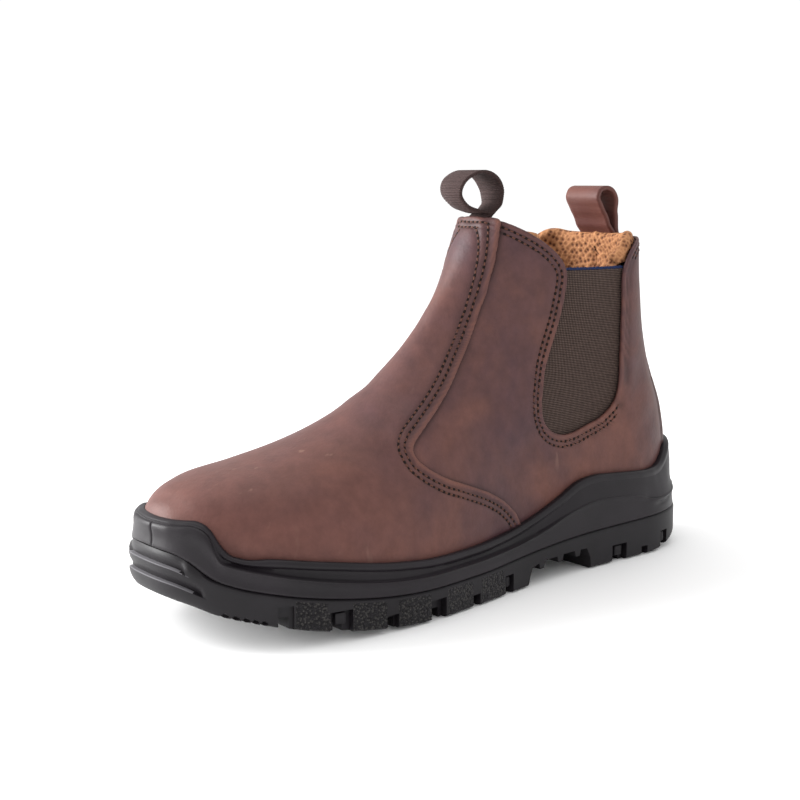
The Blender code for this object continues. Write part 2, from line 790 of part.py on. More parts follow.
def build_gores(group, cutters):
    """Elastic panels between two inner forms of the upper's own surface, wider than the window all round."""
    window = np.array(side_view(WINDOW))
    middle = window.mean(axis=0)
    reach = np.linalg.norm(window - middle, axis=1, keepdims=True)
    wide = middle + (window - middle) * (1 + GORE_MARGIN / reach)
    top = GORE_TOP * COLLAR_FRONT
    profile = [(wide[0][0], top), *[tuple(p) for p in wide if p[1] < top - 0.004], (wide[-1][0], top)]
    made = []
    for side, name in ((1, "lateral"), (-1, "medial")):
        gore = make(f"gore_{name}", upper_bmesh(-(WALL + GAP), False), group)
        wall = gore.modifiers.new("wall", "SOLIDIFY")
        wall.thickness = GORE_THICKNESS
        wall.offset = -1
        cut = prism(f"gore_cutter_{name}", profile, side * 0.004, side * BALL_WIDTH, cutters)
        boolean(gore, "panel", "INTERSECT", cut)
        made.append(gore)
    return made


def build_loop(name, table, width, thickness, group, tree, front):
    """A strap that goes up from inside the collar, round and back, its two tails one behind the other."""
    base = COLLAR_FRONT if front else COLLAR_BACK
    ring = [(TOE_Y + a * UPPER_LENGTH, base + r * COLLAR_FRONT) for a, r in table]
    sign = 1 if front else -1

    def inner(x, z):
        """The upper's inner face on the boot's middle, in y."""
        hit = tree.ray_cast(Vector((x, sign * -0.2 + 0.05, z)), Vector((0, sign, 0)), 0.3)
        if hit[0] is None:
            return None, 1.0
        lean = 1 / max(abs(hit[1].y), 0.3)
        return hit[0].y + sign * (WALL + GAP) * lean, lean

    first = thickness / 2 + GAP
    second = first + thickness + GAP
    column = [base - LOOP_TAIL * k for k in (1.0, 0.55, 0.12)]
    if front:
        ring = ring[::-1]
    tails = []
    middle = float(axis_shift(0.42))
    for distance in (first, second):
        tail = []
        for z in column:
            y, lean = inner(middle, z)
            tail.append((y + sign * distance * lean, z))
        tails.append(tail)
    near, far = tails
    path = np.array(far + ring + near[::-1])
    lengths = np.concatenate([[0], np.cumsum(np.linalg.norm(np.diff(path, axis=0), axis=1))])
    count = 34
    at = np.linspace(0, lengths[-1], count + 1)
    rows = [(s, y, z) for s, (y, z) in zip(lengths, path)]
    y = smooth(rows, 1, at)
    z = smooth(rows, 2, at)
    columns = 4
    bm = bmesh.new()
    bmesh.ops.create_grid(bm, x_segments=count, y_segments=columns, size=0.5)
    low = column[0]
    spread = {}
    for j in range(columns + 1):
        x = (j / columns - 0.5) * width
        wall = inner(x + middle, low)[0]
        spread[j] = 0.0 if wall is None else wall - inner(middle, low)[0]
    for v in bm.verts:
        i = int(round((v.co.x + 0.5) * count))
        j = int(round((v.co.y + 0.5) * columns))
        tail = 1 - 0.75 * ramp(z[i], base - 0.002, base + 0.016)
        v.co = Vector(((j / columns - 0.5) * width + middle, y[i] + spread[j] * tail, z[i]))
    made = make(name, bm, group)
    wall = made.modifiers.new("strap", "SOLIDIFY")
    wall.thickness = thickness
    wall.offset = 0
    return made


def main():
    for obj in list(bpy.data.objects):
        bpy.data.objects.remove(obj)
    boot = collection("side_gore_work_boot")
    cutters = collection("cutters", hidden=True)

    bm = upper_bmesh(0, False)
    tree = BVHTree.FromBMesh(bm)
    bm.free()
    stations = ring_stations()

    form = make("last_form", upper_bmesh(GAP, True), cutters, hidden=True)
    upper, bands = build_upper(tree, boot, cutters)
    outsole = build_outsole(stations, tree, boot, cutters)
    midsole = build_midsole(stations, tree, boot, form, bands)
    insole = build_insole(stations, tree, boot)
    gores = build_gores(boot, cutters)
    front = build_loop(
        "front_pull_loop", FRONT_LOOP, FRONT_LOOP_WIDTH, FRONT_LOOP_THICKNESS, boot, tree, True
    )
    rear = build_loop(
        "rear_pull_loop", REAR_LOOP, REAR_LOOP_WIDTH, REAR_LOOP_THICKNESS, boot, tree, False
    )

    materials = [
        (upper, "waxed_leather", (0.140, 0.066, 0.050), 0.50),
        (outsole, "tread_rubber", (0.018, 0.017, 0.018), 0.60),
        (midsole, "moulded_polyurethane", (0.024, 0.022, 0.023), 0.48),
        (insole, "insole_foam", (0.360, 0.170, 0.065), 0.90),
        (gores[0], "elastic_gore_lateral", (0.055, 0.034, 0.028), 0.80),
        (gores[1], "elastic_gore_medial", (0.055, 0.034, 0.028), 0.80),
        (front, "ribbed_webbing", (0.050, 0.030, 0.025), 0.75),
        (rear, "loop_leather", (0.110, 0.045, 0.034), 0.50),
    ]
    for obj, name, colour, roughness in materials:
        obj.data.materials.append(material(name, colour, roughness))


main()
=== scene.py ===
import math

import bmesh
import bpy
import numpy as np
from mathutils import Matrix, Vector
from mathutils.bvhtree import BVHTree


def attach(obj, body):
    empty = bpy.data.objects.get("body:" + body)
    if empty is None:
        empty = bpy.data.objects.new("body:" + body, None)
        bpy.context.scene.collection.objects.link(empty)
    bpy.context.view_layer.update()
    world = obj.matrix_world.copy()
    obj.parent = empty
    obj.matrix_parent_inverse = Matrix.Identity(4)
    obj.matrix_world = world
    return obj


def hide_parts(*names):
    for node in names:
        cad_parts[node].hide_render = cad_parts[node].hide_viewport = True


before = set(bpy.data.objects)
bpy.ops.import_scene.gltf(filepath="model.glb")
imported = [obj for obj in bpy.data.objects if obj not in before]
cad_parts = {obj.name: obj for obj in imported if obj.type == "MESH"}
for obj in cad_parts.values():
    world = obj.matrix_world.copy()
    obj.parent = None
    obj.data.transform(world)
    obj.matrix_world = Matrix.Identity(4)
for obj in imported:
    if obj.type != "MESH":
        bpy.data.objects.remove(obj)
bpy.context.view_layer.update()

# Sizes of the boot in metres, the same as the solids'. The toe points to -Y and the outer side is +X.
boot = {
    "soleLength": 0.306,
    "ballWidth": 0.11,
    "collarFront": 0.174,
    "collarBack": 0.163,
    "toeMargin": 0.0043,
    "heelMargin": 0.0065,
    "sideMargin": 0.007,
    "foreSeat": 0.021,
    "heelSeat": 0.036,
    "toeSpring": 0.02,
    "heelLift": 0.013,
    "ankleWidth": 0.074,
    "collarWidth": 0.075,
    "wall": 0.0024,
    "rimHeight": 0.055,
    "soleDepth": 0.0138,
    "heelRound": 0.148,
    "toeRound": 0.19,
    "toePower": 2.4,
}
toeY = -boot["soleLength"] / 2 + boot["toeMargin"]
upperLength = boot["soleLength"] - boot["toeMargin"] - boot["heelMargin"]

# Plan outline of the sole: share of the length from the heel, lateral and medial half widths.
outline = [
    (0.0, 0.345, 0.34), (0.08, 0.352, 0.345), (0.18, 0.355, 0.345), (0.3, 0.36, 0.315),
    (0.42, 0.385, 0.31), (0.55, 0.45, 0.375), (0.66, 0.495, 0.445), (0.74, 0.5, 0.48),
    (0.82, 0.48, 0.49), (0.9, 0.44, 0.47), (1.0, 0.37, 0.41),
]

# Sections of the upper from toe tip to collar: low along, low rise, high along, high rise, crown, fullness.
sections = [
    (0.0, 0.0, 0.0, 0.262, 2.3, 2.3),
    (0.006, 0.0, 0.008, 0.314, 2.6, 2.5),
    (0.028, 0.0, 0.03, 0.346, 2.7, 2.6),
    (0.08, 0.0, 0.078, 0.378, 2.7, 2.6),
    (0.16, 0.0, 0.163, 0.404, 2.5, 2.35),
    (0.257, 0.0, 0.245, 0.441, 2.3, 2.1),
    (0.366, 0.0, 0.319, 0.492, 2.1, 2.0),
    (0.483, 0.0, 0.377, 0.554, 2.0, 1.95),
    (0.606, 0.0, 0.426, 0.623, 1.95, 1.9),
    (0.74, 0.0, 0.453, 0.668, 1.95, 1.9),
    (0.86, 0.0, 0.474, 0.709, 1.95, 2.0),
    (0.95, 0.0, 0.487, 0.737, 2.0, 2.0),
    (1.0, 0.0, 0.499, 0.764, 2.0, 2.0),
    (1.009, 0.12, 0.514, 0.803, 2.1, 2.0),
    (0.994, 0.28, 0.53, 0.852, 2.3, 2.05),
    (0.955, 0.45, 0.544, 0.903, 2.5, 2.1),
    (0.925, 0.62, 0.559, 0.948, 2.65, 2.15),
    (0.91, 0.8, 0.571, 0.983, 2.75, 2.2),
    (0.903, 1.04, 0.584, 1.02, 2.8, 2.2),
]
heelRow = 12

# Sidewall of the sole, over the tread line: share of the length from the heel, then joint, ridge and rim.
sidewall = [
    (0.0, 0.364, 0.56, 0.985), (0.015, 0.362, 0.555, 0.975), (0.03, 0.36, 0.548, 0.945),
    (0.05, 0.357, 0.528, 0.875), (0.075, 0.354, 0.512, 0.805), (0.128, 0.345, 0.51, 0.775),
    (0.167, 0.338, 0.57, 0.79), (0.215, 0.332, 0.6, 0.812), (0.263, 0.326, 0.612, 0.826),
    (0.298, 0.32, 0.59, 0.795), (0.338, 0.31, 0.54, 0.7), (0.38, 0.296, 0.47, 0.612),
    (0.448, 0.272, 0.4, 0.518), (0.506, 0.256, 0.378, 0.485), (0.615, 0.251, 0.37, 0.478),
    (0.699, 0.251, 0.372, 0.502), (0.827, 0.251, 0.392, 0.524), (0.891, 0.247, 0.394, 0.5),
    (0.928, 0.246, 0.396, 0.462), (0.942, 0.252, 0.402, 0.476), (0.95, 0.258, 0.41, 0.52),
    (0.958, 0.27, 0.425, 0.585), (0.966, 0.296, 0.445, 0.628), (0.976, 0.338, 0.47, 0.642),
    (0.988, 0.372, 0.485, 0.622), (1.0, 0.378, 0.49, 0.6),
]

# Lines on the upper in side view: share of its length from the toe, share of the collar's height.
vampEdge = [
    (0.613, 1.09), (0.602, 1.04), (0.587, 0.966), (0.578, 0.905), (0.564, 0.804), (0.546, 0.724),
    (0.516, 0.643), (0.476, 0.559), (0.436, 0.497), (0.398, 0.449), (0.379, 0.426), (0.37, 0.408),
    (0.372, 0.39), (0.384, 0.369), (0.412, 0.338), (0.455, 0.309), (0.505, 0.274), (0.546, 0.232),
    (0.572, 0.185), (0.582, 0.148), (0.588, 0.1),
]
collarEdge = [
    (0.3, 0.992), (0.5, 0.992), (0.57, 0.99), (0.586, 0.982), (0.602, 0.967), (0.626, 0.944),
    (0.644, 0.926), (0.66, 0.907), (0.674, 0.886), (0.684, 0.866), (0.69, 0.845), (0.689, 0.77),
    (0.681, 0.684), (0.6705, 0.62), (0.656, 0.54), (0.648, 0.484), (0.649, 0.436), (0.662, 0.403),
    (0.682, 0.387),
    (0.702, 0.385), (0.748, 0.402), (0.79, 0.426), (0.811, 0.455), (0.818, 0.496), (0.815, 0.58),
    (0.809, 0.68), (0.806, 0.765), (0.807, 0.836), (0.813, 0.858), (0.824, 0.882), (0.84, 0.904),
    (0.862, 0.92), (0.93, 0.927), (1.05, 0.927),
]


def cubic(x, y, at):
    # Smooth curve through a table's columns.
    x = np.asarray(x, float)
    y = np.asarray(y, float)
    slopes = np.gradient(y, x)
    at = np.clip(np.asarray(at, float), x[0], x[-1])
    i = np.clip(np.searchsorted(x, at) - 1, 0, len(x) - 2)
    step = x[i + 1] - x[i]
    s = (at - x[i]) / step
    return (
        y[i] * (1 + 2 * s) * (1 - s) ** 2
        + slopes[i] * step * s * (1 - s) ** 2
        + y[i + 1] * s * s * (3 - 2 * s)
        + slopes[i + 1] * step * s * s * (s - 1)
    )


def ramp(x, low, high):
    s = np.clip((np.asarray(x, float) - low) / (high - low), 0, 1)
    return s * s * (3 - 2 * s)


def closing(distance, length, power):
    # From 0 at an end to 1 one length away, round like a superellipse.
    s = np.clip(np.asarray(distance, float) / length, 0, 1)
    return (1 - (1 - s) ** power) ** (1 / power)


outlineTable = np.array(outline)
sidewallTable = np.array(sidewall)
sectionTable = np.array(sections)


def sideWidth(along, side):
    lateral = cubic(outlineTable[:, 0], outlineTable[:, 1], along)
    medial = cubic(outlineTable[:, 0], outlineTable[:, 2], along)
    return np.where(np.asarray(side) > 0, lateral, medial)


def rawShift(along):
    return -0.0364 * boot["ballWidth"] * ramp(along, 0.5, 1.0)


def soleHalf(along, side):
    ends = closing(along, boot["heelRound"], 2.2) * closing(1 - along, boot["toeRound"], boot["toePower"])
    return sideWidth(along, side) * boot["ballWidth"] * ends


planAlong = np.linspace(0, 1, 800)
planCentre = (
    (soleHalf(planAlong, 1) + rawShift(planAlong)).max()
    + (-soleHalf(planAlong, -1) + rawShift(planAlong)).min()
) / 2


def axisShift(along):
    return rawShift(along) - planCentre


def spring(along):
    return boot["toeSpring"] * np.clip((np.asarray(along) - 0.62) / 0.38, 0, 1) ** 2


def ground(along):
    return spring(along) + boot["heelLift"] * np.clip((0.14 - np.asarray(along)) / 0.14, 0, 1) ** 2


def seat(y):
    along = 0.5 - np.asarray(y, float) / boot["soleLength"]
    drop = (boot["foreSeat"] - boot["heelSeat"]) * ramp(along, 0.18, 0.56)
    return boot["heelSeat"] + drop + 0.8 * spring(along)


def sectionPlaces():
    lowY = toeY + sectionTable[:, 0] * upperLength
    lowZ = seat(lowY) + sectionTable[:, 1] * (boot["collarBack"] - boot["heelSeat"])
    highY = toeY + sectionTable[:, 2] * upperLength
    highZ = sectionTable[:, 3] * boot["collarFront"]
    steps = np.hypot(np.diff(lowY), np.diff(lowZ)) + np.hypot(np.diff(highY), np.diff(highZ))
    t = np.concatenate([[0], np.cumsum(steps)])
    return t / t[-1], lowY, lowZ, highY, highZ


sectionT, lowY, lowZ, highY, highZ = sectionPlaces()
heelT = sectionT[heelRow]


def upperPoints(t, v):
    # Points of the upper's outer face. v runs from -1, low on the medial side, over the ridge to +1.
    t, v = np.broadcast_arrays(np.asarray(t, float), np.asarray(v, float))
    p = cubic(sectionT, sectionTable[:, 4], t)
    q = cubic(sectionT, sectionTable[:, 5], t)
    leg = ramp(t, sectionT[heelRow - 3], heelT)
    h = np.sin((1 - np.abs(v)) * math.pi / 2) ** ((1 - leg) * 2 / p + leg * 2)
    y0, z0 = cubic(sectionT, lowY, t), cubic(sectionT, lowZ, t)
    y = y0 + h * (cubic(sectionT, highY, t) - y0)
    z = z0 + h * (cubic(sectionT, highZ, t) - z0)
    side = np.where(v > 0, 1.0, -1.0)
    along = 0.5 - y / boot["soleLength"]
    foot = (sideWidth(along, side) * boot["ballWidth"] - boot["sideMargin"]) * closing(
        y - toeY, boot["toeRound"] * boot["soleLength"], boot["toePower"]
    )
    front = boot["collarFront"]
    tall = ramp(z, 0.30 * front, 0.78 * front) * ramp(-along, -0.72, -0.45)
    breadth = foot * (1 - tall) + tall * (
        boot["ankleWidth"] / 2 * (1 - tall) + boot["collarWidth"] / 2 * tall
    )
    up = ramp(z, 0.34 * front, 0.92 * front)
    reach = boot["soleLength"] * (0.150 * (1 - up) + 0.120 * up)
    backY = cubic(lowZ[heelRow:], lowY[heelRow:], z)
    away = np.clip((backY - y) / reach, 0, 1)
    bend = 2.0 + 0.7 * up
    breadth = breadth * (1 - (1 - away) ** bend) ** (1 / bend)
    crown = np.maximum(0, 1 - h**p) ** (1 / q)
    return np.stack([side * breadth * crown + axisShift(along), y, z], -1)


def sideLine(rows, fine=6):
    # A smooth line in side view, as (y, z) points in metres.
    rows = np.array(rows)
    run = np.concatenate([[0], np.cumsum(np.hypot(np.diff(rows[:, 0] * 1.7), np.diff(rows[:, 1])))])
    at = np.interp(np.linspace(0, len(rows) - 1, fine * (len(rows) - 1) + 1), np.arange(len(rows)), run)
    along = cubic(run, rows[:, 0], at)
    rise = cubic(run, rows[:, 1], at)
    return np.stack([toeY + along * upperLength, rise * boot["collarFront"]], 1)


def distanceTo(line, points):
    # Signed distance in side view from a line. It is positive right of its run.
    start = line[:-1]
    run = line[1:] - start
    length = np.linalg.norm(run, axis=1)
    signed = np.empty(len(points))
    for k in range(0, len(points), 20000):
        p = points[k:k + 20000, None, :] - start[None]
        share = np.clip((p * run).sum(-1) / length**2, 0, 1)
        off = p - share[..., None] * run
        d = np.linalg.norm(off, axis=-1)
        best = d.argmin(axis=1)
        rows = np.arange(len(best))
        cross = run[best, 0] * p[rows, best, 1] - run[best, 1] * p[rows, best, 0]
        signed[k:k + 20000] = d[rows, best] * np.where(cross > 0, -1, 1)
    return signed


def leanBy(y, z):
    # How far the shaft's top leans in over the foot, back in front and forward behind.
    front = 0.0032 * ramp(z, 0.118, 0.172) * (1 - ramp(y, 0.022, 0.062))
    back = 0.0028 * ramp(z, 0.095, 0.155) * ramp(y, 0.088, 0.116)
    return front - back


vampLine = sideLine(vampEdge)
collarLine = sideLine(collarEdge)


# Materials

def toLinear(hexColour):
    values = [int(hexColour[i:i + 2], 16) / 255 for i in (1, 3, 5)]
    return [v / 12.92 if v <= 0.04045 else ((v + 0.055) / 1.055) ** 2.4 for v in values] + [1.0]


def addNode(tree, kind, inputs=None, **settings):
    made = tree.nodes.new("ShaderNode" + kind)
    for name, value in settings.items():
        setattr(made, name, value)
    for name, value in (inputs or {}).items():
        if isinstance(value, bpy.types.NodeSocket):
            tree.links.new(value, made.inputs[name])
        else:
            made.inputs[name].default_value = value
    return made


def newMaterial(name, **sockets):
    made = bpy.data.materials.new(name)
    made.use_nodes = True
    shader = made.node_tree.nodes["Principled BSDF"]
    for socket, value in sockets.items():
        shader.inputs[socket.replace("_", " ")].default_value = value
    return made, made.node_tree, shader


def mixColours(tree, factor, first, second, kind="MIX"):
    made = addNode(tree, "Mix", data_type="RGBA", blend_type=kind)
    for index, value in ((0, factor), (6, first), (7, second)):
        if isinstance(value, bpy.types.NodeSocket):
            tree.links.new(value, made.inputs[index])
        else:
            made.inputs[index].default_value = value
    return made.outputs[2]


def rampOf(tree, value, stops, interpolation="LINEAR"):
    made = addNode(tree, "ValToRGB", {"Fac": value})
    made.color_ramp.interpolation = interpolation
    while len(made.color_ramp.elements) < len(stops):
        made.color_ramp.elements.new(0.5)
    for element, (place, colour) in zip(made.color_ramp.elements, stops):
        element.position = place
        element.color = toLinear(colour) if isinstance(colour, str) else (colour, colour, colour, 1)
    return made.outputs["Color"]


def noiseOf(tree, place, scale, detail, roughness=0.5, distortion=0.0):
    return addNode(tree, "TexNoise", {
        "Vector": place, "Scale": scale, "Detail": detail, "Roughness": roughness, "Distortion": distortion,
    }).outputs["Fac"]


def cellsOf(tree, place, scale, randomness=1.0, feature="F1"):
    return addNode(tree, "TexVoronoi", {
        "Vector": place, "Scale": scale, "Randomness": randomness,
    }, feature=feature).outputs["Distance"]


def maths(tree, operation, first, second, clamp=False):
    return addNode(tree, "Math", {0: first, 1: second}, operation=operation, use_clamp=clamp).outputs[0]


def bumpOf(tree, shader, *layers):
    # Bumps one over the other, each as its height, its strength and its distance in metres.
    normal = None
    for height, strength, distance in layers:
        inputs = {"Height": height, "Strength": strength, "Distance": distance}
        if normal:
            inputs["Normal"] = normal
        normal = addNode(tree, "Bump", inputs).outputs["Normal"]
    tree.links.new(normal, shader.inputs["Normal"])


def softLight(tree, base, value, share, low, high):
    # Lightens and darkens a colour by a pattern.
    return mixColours(tree, share, base, rampOf(tree, value, [(0.3, low), (0.7, high)]), "SOFT_LIGHT")


leather = {
    "dark": "#432d33",
    "middle": "#543735",
    "light": "#68433a",
    "toe": "#603c35",
    "rubMark": "#8b6a5c",
    "rubbedEdge": "#754c3f",
    # Painted shade laid into the stitch rows, beside folds and under steps; it also darkens the collar's
    # edge.
    "groove": "#241412",
    "patchScale": 16,       # patches of 30 to 60 mm, as oils move in the hide
    "grainScale": 900,      # grain of about 1 mm
}


def leatherMaterial(name, tint=None):
    # Crazy horse leather: buffed full grain soaked with wax, matt, with lighter pull-up and rub marks.
    made, tree, shader = newMaterial(name, Roughness=0.5, IOR=1.45, Specular_IOR_Level=0.3)
    place = addNode(tree, "TexCoord").outputs["Object"]
    patches = noiseOf(tree, place, leather["patchScale"], 5.0, 0.55, 0.35)
    base = rampOf(tree, patches, [
        (0.32, leather["dark"]), (0.50, leather["middle"]), (0.68, leather["light"]),
    ])
    # The hide is a little redder and lighter towards the toe.
    forward = addNode(tree, "MapRange", {
        "Value": addNode(tree, "SeparateXYZ", {"Vector": place}).outputs["Y"],
        "From Min": 0.02, "From Max": -0.13, "To Min": 0.0, "To Max": 0.75,
    }, interpolation_type="SMOOTHSTEP").outputs["Result"]
    base = mixColours(tree, forward, base, toLinear(leather["toe"]))
    base = softLight(tree, base, noiseOf(tree, place, 130.0, 6.0, 0.65), 0.35, 0.25, 0.75)
    # Fine rub marks that run mostly up and down the leg, in some places only.
    stretched = addNode(tree, "Mapping", {
        "Vector": place, "Scale": (260.0, 150.0, 26.0), "Rotation": (0.5, 0.1, 0.2),
    }).outputs["Vector"]
    marks = rampOf(tree, noiseOf(tree, stretched, 1.0, 2.0), [(0.66, 0.0), (0.74, 1.0)])
    where = rampOf(tree, noiseOf(tree, place, 22.0, 2.0), [(0.52, 0.0), (0.66, 1.0)])
    faint = maths(tree, "MULTIPLY", maths(tree, "MULTIPLY", marks, where), 0.45)
    base = mixColours(tree, faint, base, toLinear(leather["rubMark"]))
    # The mesh says where shade is painted dark into grooves and under edges, and where its edges are rubbed
    # lighter.
    paintedShadeAndRub = addNode(tree, "Attribute", attribute_name="paintedShadeAndRub").outputs["Fac"]
    rubbed = maths(tree, "MULTIPLY", paintedShadeAndRub, -1.0, True)
    paintedShade = maths(tree, "MULTIPLY", paintedShadeAndRub, 1.0, True)
    base = mixColours(tree, rubbed, base, toLinear(leather["rubbedEdge"]))
    base = mixColours(tree, paintedShade, base, toLinear(leather["groove"]))
    if tint:
        base = mixColours(tree, 0.55, base, toLinear(tint))
    tree.links.new(base, shader.inputs["Base Color"])
    grain = cellsOf(tree, place, leather["grainScale"], 1.0, "SMOOTH_F1")
    pores = noiseOf(tree, place, 420.0, 4.0)
    soft = noiseOf(tree, place, 55.0, 3.0)
    bumpOf(tree, shader, (grain, 0.18, 0.0003), (pores, 0.25, 0.0004), (soft, 0.25, 0.0015))
    rough = addNode(tree, "MapRange", {
        "Value": patches, "From Min": 0.3, "From Max": 0.7, "To Min": 0.44, "To Max": 0.60,
    }).outputs["Result"]
    tree.links.new(rough, shader.inputs["Roughness"])
    return made


def rubberMaterial(name, dark, light, roughness, pebbleAndPaintedHighlight=False):
    # Moulded polyurethane and rubber: near black, a satin skin with a fine spark-eroded grain.
    made, tree, shader = newMaterial(name, Roughness=roughness, IOR=1.5, Specular_IOR_Level=0.24)
    place = addNode(tree, "TexCoord").outputs["Object"]
    cloud = rampOf(tree, noiseOf(tree, place, 30.0, 3.0), [(0.35, 0.0), (0.7, 1.0)])
    base = mixColours(tree, cloud, toLinear(dark), toLinear(light))
    layers = [(noiseOf(tree, place, 1500.0, 2.0), 0.15, 0.0002)]
    if pebbleAndPaintedHighlight:
        # The mesh says which faces have the pebbled grain, and which are the ledges' upward faces, painted
        # lighter as a highlight.
        marks = addNode(tree, "Attribute", attribute_name="pebbleAndPaintedHighlight").outputs["Fac"]
        mask = maths(tree, "MULTIPLY", marks, 1.0, True)
        paintedHighlight = maths(tree, "MULTIPLY", marks, -1.0, True)
        base = mixColours(tree, paintedHighlight, base, toLinear("#6e6c70"))
        stones = cellsOf(tree, place, 760.0)
        layers.append((stones, mask, 0.0022))
        speck = maths(tree, "MULTIPLY", rampOf(tree, stones, [(0.25, 1.0), (0.5, 0.0)]), mask)
        base = mixColours(tree, maths(tree, "MULTIPLY", speck, 0.5), base, toLinear("#55524f"))
    tree.links.new(base, shader.inputs["Base Color"])
    bumpOf(tree, shader, *layers)
    return made


def gorePatternMaterial():
    # Elastic webbing: spun rubber covered in polyester, woven as a fine broken twill about 1 mm apart.
    made, tree, shader = newMaterial("wovenElasticPolyester", Roughness=0.75, IOR=1.5, Specular_IOR_Level=0.2)
    place = addNode(tree, "TexCoord").outputs["Object"]
    parts = addNode(tree, "SeparateXYZ", {"Vector": place})
    waves = []
    for operation in ("ADD", "SUBTRACT"):
        slant = maths(tree, operation, parts.outputs["Y"], parts.outputs["Z"])
        waves.append(maths(tree, "SINE", maths(tree, "MULTIPLY", slant, 3700.0), 0.5))
    weave = maths(tree, "MULTIPLY", *waves)
    high = addNode(tree, "MapRange", {"Value": weave, "From Min": -1.0, "From Max": 1.0}).outputs["Result"]
    base = rampOf(tree, high, [(0.20, "#191110"), (0.5, "#392b28"), (0.80, "#67564d")])
    base = softLight(tree, base, noiseOf(tree, place, 700.0, 3.0), 0.3, 0.2, 0.8)
    tree.links.new(base, shader.inputs["Base Color"])
    bumpOf(tree, shader, (high, 0.8, 0.0005))
    return made


def meshLiningMaterial():
    # Warp-knitted spacer mesh in tan polyester: open hexagons about 2.4 mm apart over a darker back.
    made, tree, shader = newMaterial("knittedSpacerMesh", Roughness=0.85, IOR=1.5, Specular_IOR_Level=0.3)
    place = addNode(tree, "TexCoord").outputs["Object"]
    turned = addNode(tree, "Mapping", {"Vector": place, "Rotation": (0.6, 0.2, 0.5)}).outputs["Vector"]
    cells = cellsOf(tree, turned, 420.0, 0.45)
    fuzz = noiseOf(tree, place, 900.0, 3.0)
    base = rampOf(tree, cells, [(0.12, "#452614"), (0.30, "#7f5236"), (0.58, "#ab7852")])
    base = softLight(tree, base, fuzz, 0.35, 0.2, 0.85)
    tree.links.new(base, shader.inputs["Base Color"])
    bumpOf(tree, shader, (cells, 0.9, 0.0010), (fuzz, 0.3, 0.0004))
    return made


def clothMaterial(name, dark, light, scale, roughness=0.8):
    # Yarn, felt, thread and cut edges: two close colours in a fine fuzz.
    made, tree, shader = newMaterial(name, Roughness=roughness, IOR=1.5, Specular_IOR_Level=0.25)
    place = addNode(tree, "TexCoord").outputs["Object"]
    fuzz = noiseOf(tree, place, scale, 4.0)
    base = mixColours(tree, rampOf(tree, fuzz, [(0.3, 0.0), (0.7, 1.0)]), toLinear(dark), toLinear(light))
    tree.links.new(base, shader.inputs["Base Color"])
    bumpOf(tree, shader, (fuzz, 0.4, 0.0004))
    return made


materials = {
    "leather": leatherMaterial("waxedCrazyHorseLeather"),
    "strap": leatherMaterial("waxedStrapLeather", "#5a3129"),
    "midsole": rubberMaterial("mouldedPolyurethane", "#161216", "#1f1a1f", 0.44),
    "tread": rubberMaterial("mouldedTreadRubber", "#120f12", "#1a171b", 0.50, pebbleAndPaintedHighlight=True),
    "gore": gorePatternMaterial(),
    "navy": clothMaterial("goreEdgeYarn", "#101a38", "#1d2c55", 2500.0),
    "lining": meshLiningMaterial(),
    "webbing": clothMaterial("ribbedPolyesterWebbing", "#281c1b", "#443230", 1800.0),
    "thread": clothMaterial("bondedPolyesterThread", "#4c2c22", "#65402f", 2500.0, 0.6),
    "pinhole": clothMaterial("needleHoleShadow", "#120a08", "#1c100d", 2500.0, 0.9),
    "footbed": clothMaterial("footbedFelt", "#6a4220", "#8d6033", 1200.0, 0.9),
}


# Mesh helpers

def gridMesh(columns, rows):
    # A grid whose points are given back as an array, one row of it after the other.
    bm = bmesh.new()
    bm.verts.layers.float.new("paintedShadeAndRub")
    bmesh.ops.create_grid(bm, x_segments=columns, y_segments=rows, size=0.5)
    points = sorted(bm.verts, key=lambda p: (round(p.co.x * columns), round(p.co.y * rows)))
    return bm, np.array(points, dtype=object).reshape(columns + 1, rows + 1)


def finish(name, bm, material, replaced=(), smooth=0, thickness=0.0, offset=-1.0):
    # Makes the object, with its sharp edges from an angle in degrees and a wall behind its face.
    mesh = bpy.data.meshes.new(name)
    bm.to_mesh(mesh)
    bm.free()
    piece = bpy.data.objects.new(name, mesh)
    bpy.context.scene.collection.objects.link(piece)
    mesh.materials.append(material)
    for polygon in mesh.polygons:
        polygon.use_smooth = True
    if thickness:
        wall = piece.modifiers.new("wall", "SOLIDIFY")
        wall.thickness = thickness
        wall.offset = offset
    if smooth:
        mesh.set_sharp_from_angle(angle=math.radians(smooth))
    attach(piece, "root")
    for node in replaced:
        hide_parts(node)
    return piece


def surfaceGrid(columns, rows, tRange=(0, 1), vRange=(-1, 1)):
    # The upper's outer face with its normals, kept smooth where the two sides come together.
    bm, verts = gridMesh(columns, rows)
    share = np.linspace(0, 1, columns + 1)
    if tRange == (0, 1):
        share = share - 0.35 * share * (1 - share) ** 3
        near = share[np.argmin(np.abs(share - heelT))]
        share = np.where(share <= near, share * heelT / near, 1 - (1 - share) * (1 - heelT) / (1 - near))
    t = tRange[0] + share * (tRange[1] - tRange[0])
    v = np.linspace(vRange[0], vRange[1], rows + 1)
    points = upperPoints(t[:, None], v[None, :])
    if vRange == (-1, 1):
        back = t >= heelT - 1e-6
        points[back, 0] = points[back, -1] = (points[back, 0] + points[back, -1]) / 2
    for vert, place in zip(verts.ravel(), points.reshape(-1, 3)):
        vert.co = place
    bm.normal_update()
    normals = np.array([p.normal[:] for p in verts.ravel()]).reshape(points.shape)
    if normals[columns // 2, rows * 3 // 4, 0] < 0:
        bmesh.ops.reverse_faces(bm, faces=bm.faces)
        normals = -normals
    for i in range(columns + 1):
        if vRange == (-1, 1) and t[i] >= heelT - 1e-6:
            both = normals[i, 0] + normals[i, -1]
            both[0] = 0
            normals[i, 0] = normals[i, -1] = both / max(np.linalg.norm(both), 1e-9)
        if t[i] < 1e-9:
            both = normals[i] + normals[i][::-1]
            normals[i] = both / np.maximum(np.linalg.norm(both, axis=1, keepdims=True), 1e-9)
    return bm, verts, points, normals


